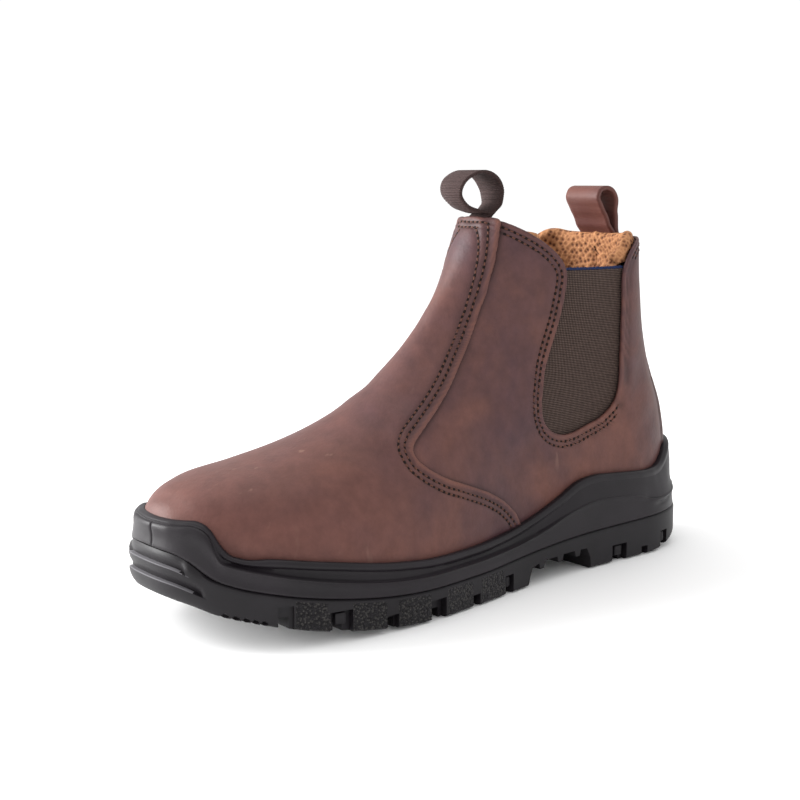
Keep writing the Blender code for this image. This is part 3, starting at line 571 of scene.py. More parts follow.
def trim(bm, value, snap=0.00035):
    # Cuts the mesh where a value at its points passes zero, and keeps the positive side.
    for vert in list(bm.verts):
        if abs(value[vert]) < snap and not vert.is_boundary:
            value[vert] = 0.0
    for edge in list(bm.edges):
        a, b = edge.verts
        if value[a] * value[b] < 0:
            share = value[a] / (value[a] - value[b])
            made = bmesh.utils.edge_split(edge, a, share)[1]
            value[made] = 0.0
    for face in list(bm.faces):
        on = [p for p in face.verts if value[p] == 0]
        if len(on) == 2 and not any(set(e.verts) == set(on) for e in face.edges):
            bmesh.utils.face_split(face, on[0], on[1])
    gone = []
    for face in bm.faces:
        total = sum(value[p] for p in face.verts)
        if total < 0 or all(value[p] == 0 for p in face.verts) and len(face.verts) > 3:
            gone.append(face)
    bmesh.ops.delete(bm, geom=gone, context="FACES")
    bmesh.ops.delete(bm, geom=[p for p in bm.verts if not p.link_faces], context="VERTS")


def rollEdge(bm, radius, turns, depth=0.0, keep=None, tuck=0.0):
    # Rolls the open edges over from the face's side, then down by a depth, or back behind the face by a tuck.
    bmesh.ops.remove_doubles(bm, verts=[v for v in bm.verts if v.is_boundary], dist=0.0003)
    for _ in range(4):
        smoothed = {}
        for vert in bm.verts:
            beside = [e.other_vert(vert).co for e in vert.link_edges if e.is_boundary]
            if vert.is_boundary and len(beside) == 2:
                smoothed[vert] = 0.5 * vert.co + 0.25 * (beside[0] + beside[1])
        for vert, co in smoothed.items():
            vert.co = co
    bm.normal_update()
    edges = [e for e in bm.edges if e.is_boundary and (keep is None or keep(e))]
    away = {}
    for edge in edges:
        face = edge.link_faces[0]
        run = (edge.verts[1].co - edge.verts[0].co).normalized()
        out = (edge.verts[0].co + edge.verts[1].co) / 2 - face.calc_center_median()
        out -= run * out.dot(run)
        out -= face.normal * out.dot(face.normal)
        for vert in edge.verts:
            away[vert] = away.get(vert, Vector()) + out.normalized()
    origin = {v: (v.co.copy(), v.normal.copy(), away[v].normalized()) for v in away}
    steps = [(radius * math.sin(a), radius * (1 - math.cos(a))) for a in turns]
    if depth:
        steps.append((steps[-1][0], steps[-1][1] + depth))
    if tuck:
        steps.append((-tuck, steps[-1][1]))
    for out, down in steps:
        made = bmesh.ops.extrude_edge_only(bm, edges=edges)["geom"]
        fresh = {g for g in made if isinstance(g, bmesh.types.BMVert)}
        further = {}
        for vert in fresh:
            before = next(e.other_vert(vert) for e in vert.link_edges if e.other_vert(vert) in origin)
            further[vert] = origin[before]
        edges = [g for g in made if isinstance(g, bmesh.types.BMEdge) and set(g.verts) <= fresh]
        for vert, (co, normal, side) in further.items():
            vert.co = co + side * out - normal * down
        origin = further
    bmesh.ops.recalc_face_normals(bm, faces=bm.faces)


def contours(bm, value, level):
    # Lines on the mesh where a value has one level: lists of (place, normal).
    crossing = {}
    for edge in bm.edges:
        a, b = edge.verts
        fa, fb = value[a] - level, value[b] - level
        if fa * fb < 0:
            share = fa / (fa - fb)
            crossing[edge] = (a.co.lerp(b.co, share), a.normal.lerp(b.normal, share).normalized())
    links = {}
    for face in bm.faces:
        found = [e for e in face.edges if e in crossing]
        if len(found) == 2:
            links.setdefault(found[0], []).append(found[1])
            links.setdefault(found[1], []).append(found[0])
    lines = []
    seen = set()
    ends = [e for e in links if len(links[e]) == 1] + list(links)
    for start in ends:
        if start in seen:
            continue
        line = [start]
        seen.add(start)
        while True:
            further = [e for e in links[line[-1]] if e not in seen]
            if not further:
                break
            line.append(further[0])
            seen.add(further[0])
        if len(line) > 3:
            lines.append([crossing[e] for e in line])
    return lines


stitching = {
    "pitch": 0.0030,
    "length": 0.0020,
    "thread": 0.00036,      # radius of the thread
    "hole": 0.00078,        # half width of the needle holes
    "holeRise": 0.00014,
}


def ballMesh(name, rings, segments):
    bm = bmesh.new()
    bm.verts.layers.float.new("paintedShadeAndRub")
    bmesh.ops.create_uvsphere(bm, u_segments=segments, v_segments=rings, radius=1.0)
    mesh = bpy.data.meshes.new(name)
    bm.to_mesh(mesh)
    bm.free()
    return mesh


threadBall = ballMesh("threadBall", 5, 6)
holeBall = ballMesh("holeBall", 4, 8)


def addCopy(bm, mesh, matrix):
    own = mesh.copy()
    own.transform(matrix)
    bm.from_mesh(own)
    bpy.data.meshes.remove(own)


def at3(distance, run, rows):
    return Vector([float(np.interp(distance, run, rows[:, i])) for i in range(3)])


def sew(threads, holes, line, keep):
    # Puts stitches with their needle holes along a line of (place, normal).
    places = np.array([p[:] for p, _ in line])
    normals = np.array([n[:] for _, n in line])
    run = np.concatenate([[0], np.cumsum(np.linalg.norm(np.diff(places, axis=0), axis=1))])
    count = int(run[-1] / stitching["pitch"])
    for k in range(count):
        at = (k + 0.5) * stitching["pitch"]
        ends = [at - 0.5 * stitching["pitch"], at, at + 0.5 * stitching["pitch"]]
        start, middle, end = (at3(a, run, places) for a in ends)
        normal = at3(at, run, normals).normalized()
        if not keep(middle):
            continue
        forward = (end - start).normalized()
        across = normal.cross(forward).normalized()
        turn = Matrix((forward, across, normal)).transposed().to_4x4()
        size = (stitching["length"] / 2, stitching["thread"] * 1.1, stitching["thread"], 1)
        lifted = Matrix.Translation(middle + normal * 0.00005)
        addCopy(threads, threadBall, lifted @ turn @ Matrix.Diagonal(size))
        size = (stitching["hole"] * 1.25, stitching["hole"], stitching["holeRise"], 1)
        lifted = Matrix.Translation(start + normal * 0.00003)
        addCopy(holes, holeBall, lifted @ turn @ Matrix.Diagonal(size))


print("scene: helpers ready")

# Leather

upperCut = {
    "step": 0.0012,         # the vamp stands over the quarter at the seam
    "band": 0.014,          # and lies down again this far into the vamp
    "ridge": 0.0022,        # width of the folded edge
    "ridgeRise": 0.0005,
    "rows": (0.0036, 0.0061),       # the two rows of stitches, from the edge
    "rowDepth": 0.00048,
    "rowPuff": 0.00025,     # the leather puffs up between the rows
    "under": 0.008,         # the quarter runs on under the vamp
    "collarRows": (0.0030, 0.0055),
    "collarDepth": (0.00032, 0.00036),      # of the vamp's rows and of the quarters'
    "stay": (0.0222, 0.0162),       # half width of the strip down the back, low and high
    "stayRise": 0.0011,
    "roll": 0.0007,         # radius of the cut edges
}

# Soft creases and dents: along and rise of the middle, half length and half width in mm,
# turn in degrees from level, depth in mm (ridges negative), and the sides it shows on (both 0).
creases = [
    (0.330, 0.400, 20, 6.0, -28, 0.55, 1),
    (0.300, 0.360, 18, 5.0, -24, -0.35, 1),
    (0.410, 0.520, 16, 5.0, -38, 0.45, 0),
    (0.385, 0.480, 15, 4.0, -36, -0.25, 0),
    (0.530, 0.480, 22, 9.0, 62, 0.50, 1),
    (0.600, 0.360, 20, 8.0, 20, 0.55, 1),
    (0.560, 0.620, 20, 7.0, 70, -0.40, 1),
    (0.870, 0.520, 12, 6.0, 78, 0.60, 0),
    (0.900, 0.380, 14, 5.0, 30, 0.40, 0),
    (0.480, 0.700, 20, 6.0, -58, 0.35, 0),
]


def creaseDepth(points):
    # How far the listed folds push the leather in, in metres.
    depth = np.zeros(len(points))
    for along, rise, length, width, turn, deep, side in creases:
        y = points[:, 1] - (toeY + along * upperLength)
        z = points[:, 2] - rise * boot["collarFront"]
        c, s = math.cos(math.radians(turn)), math.sin(math.radians(turn))
        u = (y * c + z * s) * 1000 / length
        w = (-y * s + z * c) * 1000 / width
        own = 1.0 if side == 0 else ramp(points[:, 0] * side, -0.004, 0.008)
        depth += own * deep * 0.001 * np.exp(-(u**4)) * np.exp(-(w**2))
    return depth


def rowGroove(distance, places, width=0.0006):
    return sum(np.exp(-(((distance - d) / width) ** 2)) for d in places)


# A coarse copy of the upper's outer face, for the sole and the loops to find it with rays.
shell = BVHTree.FromBMesh(surfaceGrid(60, 56)[0])


def leatherPiece(name, columns, rows, isVamp):
    bm, verts, points, normals = surfaceGrid(columns, rows)
    flat = points.reshape(-1, 3)
    seam = distanceTo(vampLine, flat[:, 1:])
    collar = distanceTo(collarLine, flat[:, 1:])
    rise = -creaseDepth(flat)
    paintedShadeAndRub = np.zeros(len(flat))
    collarGroove = rowGroove(collar, upperCut["collarRows"])
    if isVamp:
        edge = np.clip(seam, 0, 1)
        lift = upperCut["step"] * (1 - ramp(edge, 0.3 * upperCut["band"], upperCut["band"]))
        hump = np.clip(1 - ((edge - 0.5 * upperCut["ridge"]) / (0.62 * upperCut["ridge"])) ** 2, 0, 1)
        groove = rowGroove(seam, upperCut["rows"], 0.0008)
        rise = rise + lift + upperCut["ridgeRise"] * hump - upperCut["rowDepth"] * groove
        rise = rise + upperCut["rowPuff"] * rowGroove(seam, [sum(upperCut["rows"]) / 2], 0.0008)
        rise = rise - upperCut["collarDepth"][0] * collarGroove
        # Painted shade in the stitch rows and at the foot of the fold; the fold's top is rubbed lighter.
        paintedShadeAndRub = 0.45 * np.clip(groove, 0, 1) + 0.35 * np.exp(-(((edge - upperCut["ridge"]) / 0.0005) ** 2))
        paintedShadeAndRub = paintedShadeAndRub - 0.5 * np.exp(-(((edge - 0.5 * upperCut["ridge"]) / 0.0008) ** 2))
    else:
        # Painted shadow on the quarter beside the vamp's edge; the leather also sinks a little there.
        shadow = np.exp(-((np.clip(-seam, 0, 1) / 0.0012) ** 2))
        low, high = upperCut["stay"]
        aside = np.abs(flat[:, 0]) - low + (low - high) * ramp(flat[:, 2], 0.06, 0.16)
        behind = ramp(flat[:, 1], 0.085, 0.100)
        rise = rise - upperCut["collarDepth"][1] * collarGroove - 0.0004 * shadow
        rise = rise + upperCut["stayRise"] * behind * (1 - ramp(aside, -0.0007, 0.0007))
        # Painted shade in the stitch rows by the collar, under the vamp's edge and along the back strip's
        # edge.
        paintedShadeAndRub = 0.45 * np.clip(collarGroove, 0, 1) + 0.4 * shadow
        paintedShadeAndRub = paintedShadeAndRub + 0.7 * behind * np.exp(-(((aside - 0.0005) / 0.0007) ** 2))
    # Darker right at the collar's edge, rubbed lighter just inside it.
    roll = np.exp(-((np.clip(collar, 0, 1) / 0.0009) ** 2))
    paintedShadeAndRub = paintedShadeAndRub + 0.25 * roll - 0.3 * np.exp(-(((np.clip(collar, 0, 1) - 0.0013) / 0.0007) ** 2))
    rise = rise * (1 - ramp(seat(flat[:, 1]) - flat[:, 2], -0.004, 0.001))
    moved = flat + normals.reshape(-1, 3) * rise[:, None]
    moved[:, 1] += leanBy(flat[:, 1], flat[:, 2])
    layer = bm.verts.layers.float["paintedShadeAndRub"]
    seamAt = {}
    collarAt = {}
    for vert, place, s, c, p in zip(verts.ravel(), moved, seam, collar, paintedShadeAndRub):
        vert.co = place
        vert[layer] = float(min(p, 1.0))
        seamAt[vert] = float(s) if isVamp else float(-s)
        collarAt[vert] = float(c)
    return bm, seamAt, collarAt


def shareOut(bm, known):
    # Gives the points that a cut has made the mean of their neighbours' values.
    for vert in bm.verts:
        if vert not in known:
            near = [known[e.other_vert(vert)] for e in vert.link_edges if e.other_vert(vert) in known]
            known[vert] = sum(near) / len(near) if near else 1.0
    return known


def trimBoth(bm, first, second):
    # Cuts along one line, then along the other.
    trim(bm, first)
    trim(bm, shareOut(bm, {v: second[v] for v in bm.verts if v in second}))


threads = bmesh.new()
holes = bmesh.new()


def sideFrom(line, p):
    return distanceTo(line, np.array([[p.y - leanBy(p.y, p.z), p.z]]))[0]


def behindGore(p):
    # No stitches show along the gore's back edge, which is folded.
    low, high = toeY + 0.822 * upperLength, toeY + 0.80 * upperLength
    return p.y > low and p.z < 0.150 or p.y > high and 0.085 < p.z < 0.152


def sewLeather(bm, seamAt, collarAt, isVamp):
    bm.normal_update()
    for seamRow, collarRow in zip(upperCut["rows"], upperCut["collarRows"]):
        if isVamp:
            for line in contours(bm, seamAt, seamRow):
                sew(threads, holes, line,
                    lambda p: p.z > seat(p.y) + 0.004 and sideFrom(collarLine, p) > collarRow)
        for line in contours(bm, collarAt, collarRow):
            if isVamp:
                sew(threads, holes, line, lambda p: sideFrom(vampLine, p) > seamRow)
            else:
                sew(threads, holes, line, lambda p: sideFrom(vampLine, p) < -0.0015 and not behindGore(p))


def endLeather(name, bm, seamAt, collarAt, spare, thickness):
    roll = upperCut["roll"]
    seamAt = {v: at + spare - roll for v, at in seamAt.items()}
    trimBoth(bm, seamAt, {v: at - roll for v, at in collarAt.items()})
    bmesh.ops.remove_doubles(bm, verts=bm.verts, dist=2e-5)
    clear = 0.004           # edges lower than this over the seat stay flat inside the sole
    rollEdge(bm, roll, (0.5, 1.0, 1.5), 0.0008, lambda e: all(v.co.z > seat(v.co.y) + clear for v in e.verts))
    return finish(name, bm, materials["leather"], ["upper"], thickness=thickness)


vampBm, vampSeam, vampCollar = leatherPiece("vamp", 250, 200, True)
sewLeather(vampBm, vampSeam, vampCollar, True)
vamp = endLeather("vamp", vampBm, vampSeam, vampCollar, 0.0, 0.0020)
quarterBm, quarterSeam, quarterCollar = leatherPiece("quarter", 250, 200, False)
sewLeather(quarterBm, quarterSeam, quarterCollar, False)
quarter = endLeather("quarters", quarterBm, quarterSeam, quarterCollar, upperCut["under"], 0.0022)
print("scene: leather", len(vamp.data.polygons), len(quarter.data.polygons))

print("scene: stitches", len(threads.faces))
finish("seamStitches", threads, materials["thread"])
finish("needleHoles", holes, materials["pinhole"])


# Gores

gore = {
    "margin": 0.006,
    "top": 0.848,
    "thickness": 0.0016,
    "bulge": 0.0006,
    "edge": 0.0011,         # height of the coloured yarn along the top
}


def goreOutline():
    window = sideLine(collarEdge[9:27], 6)
    middle = window.mean(axis=0)
    reach = np.linalg.norm(window - middle, axis=1, keepdims=True)
    return middle + (window - middle) * (1 + gore["margin"] / reach)


def gorePiece(side, edge):
    # The elastic behind the window, or only its coloured edge along the top.
    vRange = (0.25, 0.97) if side > 0 else (-0.97, -0.25)
    bm, verts, points, normals = surfaceGrid(150, 150, (0.55, 1.0), vRange)
    if normals[75, 75, 0] * side < 0:
        bmesh.ops.reverse_faces(bm, faces=bm.faces)
        normals = -normals
    flat = points.reshape(-1, 3)
    inside = -distanceTo(goreOutline(), flat[:, 1:])
    top = gore["top"] * boot["collarFront"]
    offset = gore["bulge"] * np.clip(inside / 0.02, 0, 1) - (boot["wall"] + 0.0003)
    moved = flat + normals.reshape(-1, 3) * offset[:, None]
    moved[:, 1] += leanBy(flat[:, 1], flat[:, 2])
    first, second = {}, {}
    for vert, place, at, z in zip(verts.ravel(), moved, inside, flat[:, 2]):
        vert.co = place
        first[vert] = float(at)
        second[vert] = float(top - z) if edge else float(top - z - 0.0010)
    if not edge:
        trimBoth(bm, first, second)
        return bm
    trim(bm, dict(second))
    strip = {v: gore["edge"] - (top - v.co.z) if v in second else 0.0 for v in bm.verts}
    shareOut(bm, first)
    trim(bm, strip)
    trim(bm, shareOut(bm, first))
    return bm


for side, name in ((1, "lateral"), (-1, "medial")):
    thick, slot = gore["thickness"], "elastic_gore"
    elastic, yarn = gorePiece(side, False), gorePiece(side, True)
    finish(f"goreElastic.{name}", elastic, materials["gore"], [f"gore_{name}"], thickness=thick)
    finish(f"goreEdge.{name}", yarn, materials["navy"], thickness=thick + 0.0001)
print("scene: gores")


# Lining

lining = {
    "leather": 0.0033,      # behind the leather's face
    "gore": 0.0050,         # behind the gore's
    "padding": 0.0058,
    "lump": 0.0009,
    "tuck": 0.0035,
    "reach": 0.075,         # how far down into the shaft it is made
}


# Height of the padded edge: under the leather in front, level with the gore, over the leather behind.
liningEdge = [
    (0.50, 0.985), (0.58, 0.985), (0.60, 0.965), (0.63, 0.945), (0.66, 0.900), (0.685, 0.850), (0.72, 0.838),
    (0.76, 0.838), (0.795, 0.846), (0.812, 0.885), (0.83, 0.918), (0.85, 0.932), (0.95, 0.936),
]


def liningTop(y):
    places, rises = np.array(liningEdge).T
    return cubic(places, rises, (y - toeY) / upperLength) * boot["collarFront"]


def liningPiece():
    # Its face looks into the boot, and rolls over at the top to meet the leather.
    bm, verts, points, normals = surfaceGrid(120, 200, (sectionT[heelRow - 2], 1.0))
    flat = points.reshape(-1, 3)
    y, z = flat[:, 1], flat[:, 2]
    window = distanceTo(goreOutline(), flat[:, 1:])
    behind = ramp(-window, -0.004, 0.002)
    inset = lining["leather"] + (lining["gore"] - lining["leather"]) * behind + lining["padding"]
    # The foam puffs up in soft lumps of 15 to 30 mm.
    puff = np.sin(y * 210 + z * 90) * np.sin(z * 330 - y * 140) + 0.5 * np.sin(y * 95 - z * 180 + 1.3)
    inset = inset - lining["lump"] * puff * ramp(z, 0.115, 0.150)
    moved = flat - normals.reshape(-1, 3) * inset[:, None]
    moved[:, 1] += leanBy(y, z)
    keepTop, keepLow = {}, {}
    tops = liningTop(y) - lining["padding"] / 2 + 0.0008 * puff
    for vert, place, top, from_ in zip(verts.ravel(), moved, tops, flat):
        vert.co = place
        keepTop[vert] = float(top - from_[2])
        keepLow[vert] = float(from_[2] - boot["collarBack"] + lining["reach"])
    trimBoth(bm, keepTop, keepLow)
    bmesh.ops.remove_doubles(bm, verts=bm.verts, dist=2e-5)
    bmesh.ops.reverse_faces(bm, faces=bm.faces)
    low = boot["collarBack"] - lining["reach"] + 0.01
    half = lining["padding"] / 2
    turns = (0.4, 0.8, 1.2, 1.57, 1.95, 2.35, 2.75, 3.1)
    rollEdge(bm, half, turns, 0.0, lambda e: all(v.co.z > low for v in e.verts), lining["tuck"])
    return bm


liner = finish("collarLining", liningPiece(), materials["lining"], thickness=0.0006)
print("scene: lining", len(liner.data.polygons))


# Sole

sole = {
    "spacing": 0.0015,
    "parting": 0.9997,      # where the mould's halves meet at the toe
    "partingHalf": 0.00035,
    "beadRise": 0.0036,     # height of the rounded bead under the leather
    "beadStand": 0.0042,    # how far the bead stands out from the leather
}


def ringStations():
    # Even steps round the outline, and a few more beside the mould line of the toe.
    half = 3001
    theta = np.linspace(0, math.pi, half)
    a = (1 - np.cos(theta)) / 2
    a = np.concatenate([a, a[-2:0:-1]])
    side = np.array([1.0] * half + [-1.0] * (half - 2))
    x = side * soleHalf(a, side) + axisShift(a)
    y = boot["soleLength"] * (0.5 - a)
    x, y = np.append(x, x[0]), np.append(y, y[0])
    run = np.concatenate([[0], np.cumsum(np.hypot(np.diff(x), np.diff(y)))])
    even = np.arange(int(run[-1] / sole["spacing"])) / int(run[-1] / sole["spacing"]) * run[-1]
    parting = run[np.argmin(np.abs(a[:half] - sole["parting"]))]
    toe = run[half - 1]
    width = sole["partingHalf"]
    near = parting + np.array([-0.0012, -width, 0.0, width, 0.0012])
    even = even[(np.abs(even - parting) > 0.0016) & (np.abs(even - toe) > 0.0004)]
    stops = np.unique(np.round(np.concatenate([even, near, [toe]]), 7))
    a = np.interp(stops, run[:-1], a)
    place = np.stack([np.interp(stops, run, x), np.interp(stops, run, y)], 1)
    tangent = np.roll(place, -1, 0) - np.roll(place, 1, 0)
    outward = np.stack([tangent[:, 1], -tangent[:, 0]], 1)
    outward /= np.linalg.norm(outward, axis=1, keepdims=True)
    if outward[len(stops) // 4, 0] < 0:
        outward = -outward
    line = np.exp(-(((stops - parting) / width) ** 2))
    return a, place, outward, line


def distanceIn(place, outward, height, start=0.012):
    # How far inside the outline the upper stands at a height.
    found = []
    for p, n, z in zip(place, outward, height):
        origin = Vector((p[0] + n[0] * start, p[1] + n[1] * start, z))
        hit = shell.ray_cast(origin, Vector((-n[0], -n[1], 0)), 0.06)
        found.append(hit[3] - start if hit[0] is not None else np.nan)
    found = np.array(found)
    missing = np.isnan(found)
    index = np.arange(len(found))
    found[missing] = np.interp(index[missing], index[~missing], found[~missing])
    return found


def smoothRound(values, width):
    # A mean over a few neighbours on the ring.
    half = width // 2
    wrapped = np.concatenate([values[-half:], values, values[:half]])
    return np.convolve(wrapped, np.ones(width) / width, "valid")


def ringSolid(rings):
    # Rings of points round the sole made into one skin, with its bottom and top closed from side to side.
    count = len(rings[0])
    bm, verts = gridMesh(count, len(rings) - 1)
    for j, ring in enumerate(rings):
        for i in range(count):
            verts[i, j].co = ring[i]
    joined = {verts[count, j]: verts[0, j] for j in range(len(rings))}
    bmesh.ops.weld_verts(bm, targetmap=joined)
    toe = int(np.argmax(along))
    # Each cap is sewn from heel to toe between the two sides, always on from the one that is behind.
    for j in (0, len(rings) - 1):
        left, right = list(range(toe + 1)), [0] + list(range(count - 1, toe - 1, -1))
        i = k = 0
        while i < len(left) - 1 or k < len(right) - 1:
            nextLeft = along[left[i + 1]] if i < len(left) - 1 else 2.0
            nextRight = along[right[k + 1]] if k < len(right) - 1 else 2.0
            if nextLeft <= nextRight:
                corners = [left[i], left[i + 1], right[k]]
                i += 1
            else:
                corners = [left[i], right[k + 1], right[k]]
                k += 1
            if len(set(corners)) == 3:
                bm.faces.new([verts[c, j] for c in corners])
    bmesh.ops.recalc_face_normals(bm, faces=bm.faces)
    return bm


along, place, outward, partLine = ringStations()
lift = spring(along)
joint, ridge, rim = (
    cubic(sidewallTable[:, 0], sidewallTable[:, k], along) * boot["rimHeight"] + lift for k in (1, 2, 3)
)
toeEnd = ramp(along, 0.945, 0.985)
bumper = ramp(along, 0.944, 0.962)
channel = ramp(along, 0.31, 0.42) * (1 - ramp(along, 0.936, 0.954))
ridge = ridge + (rim - 0.0018 - ridge) * bumper
inner = distanceIn(place, outward, rim - 0.001)
rimOut = smoothRound(np.minimum(-(inner - sole["beadStand"]), -0.0006), 9)
rimOut = rimOut * (1 - bumper) + np.maximum(-(inner - 0.0048), -0.0046) * bumper
wrap = np.minimum(0.0046, 0.42 * distanceIn(place, outward, np.maximum(joint, seat(place[:, 1]) + 0.002)))

# Shallow sweeps on the heel's wall: share of the length and height in mm, then depth and half width in mm.
sweeps = [
    ([(0.165, 29.5), (0.120, 28.6), (0.070, 31.0), (0.030, 36.0), (0.004, 41.0)], 0.9, 1.1),
    ([(0.130, 24.5), (0.080, 25.5), (0.035, 29.5), (0.004, 33.5)], 0.8, 1.0),
]


def ringAt(offset, z):
    offset = np.broadcast_to(offset, len(place)).astype(float)
    z = np.broadcast_to(z, len(place)).astype(float)
    for line, deep, half in sweeps:
        at, high = np.array(line[::-1]).T
        near = np.exp(-(((z * 1000 - cubic(at, high, along)) / half) ** 2))
        offset = offset - 0.001 * deep * near * (1 - ramp(along, at[-1] - 0.03, at[-1]))
    points = place + outward * offset[:, None]
    return np.concatenate([points, z[:, None]], 1)


def midsoleRings():
    low = joint + 0.0002
    rings = [ringAt(-wrap - 0.0006, low), ringAt(-0.0018 - 0.001 * toeEnd, low)]
    # The wall from the joint to its edge, a little hollow. At the toe it leans back as the bumper.
    wall = [
        (0.0, 1.1), (0.03, 0.7), (0.08, 0.5), (0.16, 0.6), (0.28, 0.8), (0.40, 0.9), (0.52, 1.0),
        (0.64, 0.9), (0.74, 0.8), (0.83, 0.6), (0.90, 0.35), (0.95, 0.1), (0.985, 0.05), (1.0, 0.25),
    ]
    for share, off in wall:
        lean = bumper * ((rimOut + 0.0016) * share ** 1.7 - 0.0016 * max(0.0, share - 0.75) ** 2 * 16)
        line = 0.0006 * partLine * bumper * ramp(share, 0.02, 0.10)
        rings.append(ringAt(-0.001 * off - 0.0010 * toeEnd + lean - line, low + share * (ridge - low)))
    # Over the edge a hollow channel, then the rounded bead that the leather stands in.
    free = rim - ridge
    bead = np.minimum(sole["beadRise"], 0.62 * free)
    beadLow = rim - bead
    for share, blend, deep in ((0.0, 0.35, 1.0), (0.3, 0.62, 1.0), (0.7, 0.85, 0.95), (1.0, 0.95, 0.7)):
        z = ridge + 0.0002 + share * (beadLow - ridge - 0.0002)
        flush = (-0.0004 - 0.0004 * channel) * (1 - share) + share * rimOut
        hollow = blend * rimOut - 0.0019 * deep
        off = flush * (1 - channel) + hollow * channel
        lean = bumper * ((rimOut - 0.0016) - off)
        rings.append(ringAt(off + lean - 0.0004 * (1 - channel) * (1 - share) * (1 - bumper), z))
    for turn in np.linspace(0.0, 1.0, 9):
        angle = turn * math.pi
        z = beadLow + bead * (0.5 - 0.5 * math.cos(angle))
        crease = channel if turn < 0.5 else 1.0
        out = -0.0012 * (1 - math.sin(angle)) * crease - 0.0008 * max(0.0, turn - 0.5)
        rings.append(ringAt(rimOut + out - 0.0016 * bumper * (1 + turn), z))
    rings.append(ringAt(-inner + 0.0004, rim - 0.0003))
    rings.append(ringAt(-inner - 0.0008, rim - 0.0012))
    rings.append(ringAt(-inner - 0.0008, np.minimum(rim - 0.004, seat(place[:, 1]) + 0.001)))
    return rings


midsole = finish(
    "midsole", ringSolid(midsoleRings()), materials["midsole"], ["midsole"], smooth=50
)
print("scene: midsole", len(midsole.data.polygons))

# Notches round the tread: start and end as shares of the length, height and depth in mm, with a stud or not.
notches = [
    (0.088, 0.109, 9.5, 3.2, True), (0.145, 0.160, 5.0, 3.0, False), (0.197, 0.231, 9.5, 3.4, True),
    (0.467, 0.487, 10.0, 3.4, True), (0.547, 0.563, 6.5, 3.0, False), (0.621, 0.651, 10.0, 3.4, False),
    (0.710, 0.730, 7.0, 3.0, False), (0.784, 0.818, 10.0, 3.6, True), (0.867, 0.887, 10.5, 2.2, False),
]
# Grooves along the tread: share of the half width, then start and end.
runs = [(0.17, 0.452, 0.900), (-0.17, 0.452, 0.900), (0.0, 0.040, 0.268)]
# The hollow under the waist with its ribs: share of the length, height as a share of the sole's depth.
waist = [
    (0.279, -0.30), (0.284, 0.45), (0.292, 0.78), (0.306, 0.80), (0.309, 0.58), (0.318, 0.58),
    (0.321, 0.80), (0.347, 0.80), (0.350, 0.56), (0.359, 0.56), (0.362, 0.78), (0.390, 0.76),
    (0.393, 0.52), (0.402, 0.50), (0.405, 0.72), (0.421, 0.62), (0.428, 0.20), (0.433, -0.30),
]
tread = {
    "groove": 0.0042,
    "depth": 0.0045,
    "teeth": (0.903, 0.913, 0.923, 0.934, 0.945),
    "tooth": 0.0022,
    "reach": 0.11,          # half width of what cuts right across
}


def outsoleRings():
    # Share of the height, offset in mm, then what the toe's round and its two ledges take away.
    baseZ = ground(along)
    first, second = ramp(along, 0.979, 0.9835), ramp(along, 0.964, 0.969)
    profile = [
        (0.00, 1.6, 4.2, 0, 0), (0.03, 0.6, 3.2, 0, 0), (0.07, 0, 2.3, 0, 0), (0.13, 0, 1.5, 0, 0),
        (0.20, 0, 0.8, 0, 0), (0.28, 0, 0.3, 0, 0), (0.36, 0, 0, 0, 0), (0.405, 0, 0, 0, 0),
        (0.418, 0, 0, 0, 0.3), (0.424, 0, 0, 0, 1.9), (0.45, 0, 0, 0, 1.9), (0.52, 0, 0, 0, 1.3),
        (0.60, 0, 0, 0, 0.5), (0.68, 0, 0, 0, 0.1), (0.720, 0, 0, 0, 0), (0.732, 0, 0, 0.3, 0),
        (0.738, 0, 0, 2.0, 0), (0.77, 0, 0, 2.0, 0), (0.83, 0, 0, 1.6, 0), (0.90, 0, 0, 1.2, 0.3),
        (0.96, 0.2, 0, 1.0, 0.6), (1.00, 1.0, 0.4, 0.6, 0.3),
    ]
    rings = []
    for share, off, rounded, one, two in profile:
        out = -0.001 * (off + rounded * toeEnd + one * first + two * second)
        rings.append(ringAt(out, baseZ + share * (joint - baseZ)))
    rings.append(ringAt(-wrap, joint - 0.0001))
    rings.append(ringAt(-wrap - 0.002, joint - 0.0006))
    return rings


def cutterFrom(name, bm):
    bmesh.ops.recalc_face_normals(bm, faces=bm.faces)
    mesh = bpy.data.meshes.new(name)
    bm.to_mesh(mesh)
    bm.free()
    made = bpy.data.objects.new(name, mesh)
    bpy.context.scene.collection.objects.link(made)
    return made


def prismFrom(name, profile, half):
    bm = bmesh.new()
    face = bm.faces.new([bm.verts.new((half, y, z)) for y, z in profile])
    out = bmesh.ops.extrude_face_region(bm, geom=[face])
    for v in out["geom"]:
        if isinstance(v, bmesh.types.BMVert):
            v.co.x = -half
    return cutterFrom(name, bm)


def edgeFrame(start, end, side):
    # Two points of the outline, with the directions along it and out from it.
    a = np.array([start, end])
    x = side * soleHalf(a, side) + axisShift(a)
    y = boot["soleLength"] * (0.5 - a)
    run = Vector((x[1] - x[0], y[1] - y[0], 0)).normalized()
    out = Vector((-run.y, run.x, 0))
    return x, y, run, out if out.x * side > 0 else -out


def crossCutter():
    length = boot["soleLength"]
    bm = bmesh.new()
    for start, end, *_ in notches:
        middle = (start + end) / 2
        top = float(ground(middle)) + tread["depth"]
        for v in bmesh.ops.create_cube(bm, size=1.0)["verts"]:
            y = length * (0.5 - middle) + v.co.y * tread["groove"]
            v.co = Vector((v.co.x * 2 * tread["reach"], y, top if v.co.z > 0 else top - 0.03))
    for middle in tread["teeth"]:
        top = float(ground(middle)) + tread["tooth"] / 2
        spot = Matrix.Translation((0, length * (0.5 - middle), top))
        turn = Matrix.Rotation(math.radians(45), 4, "X")
        size = Matrix.Diagonal((2 * tread["reach"], tread["tooth"], tread["tooth"], 1))
        bmesh.ops.create_cube(bm, size=1.0, matrix=spot @ turn @ size)
    return cutterFrom("crossCut", bm)


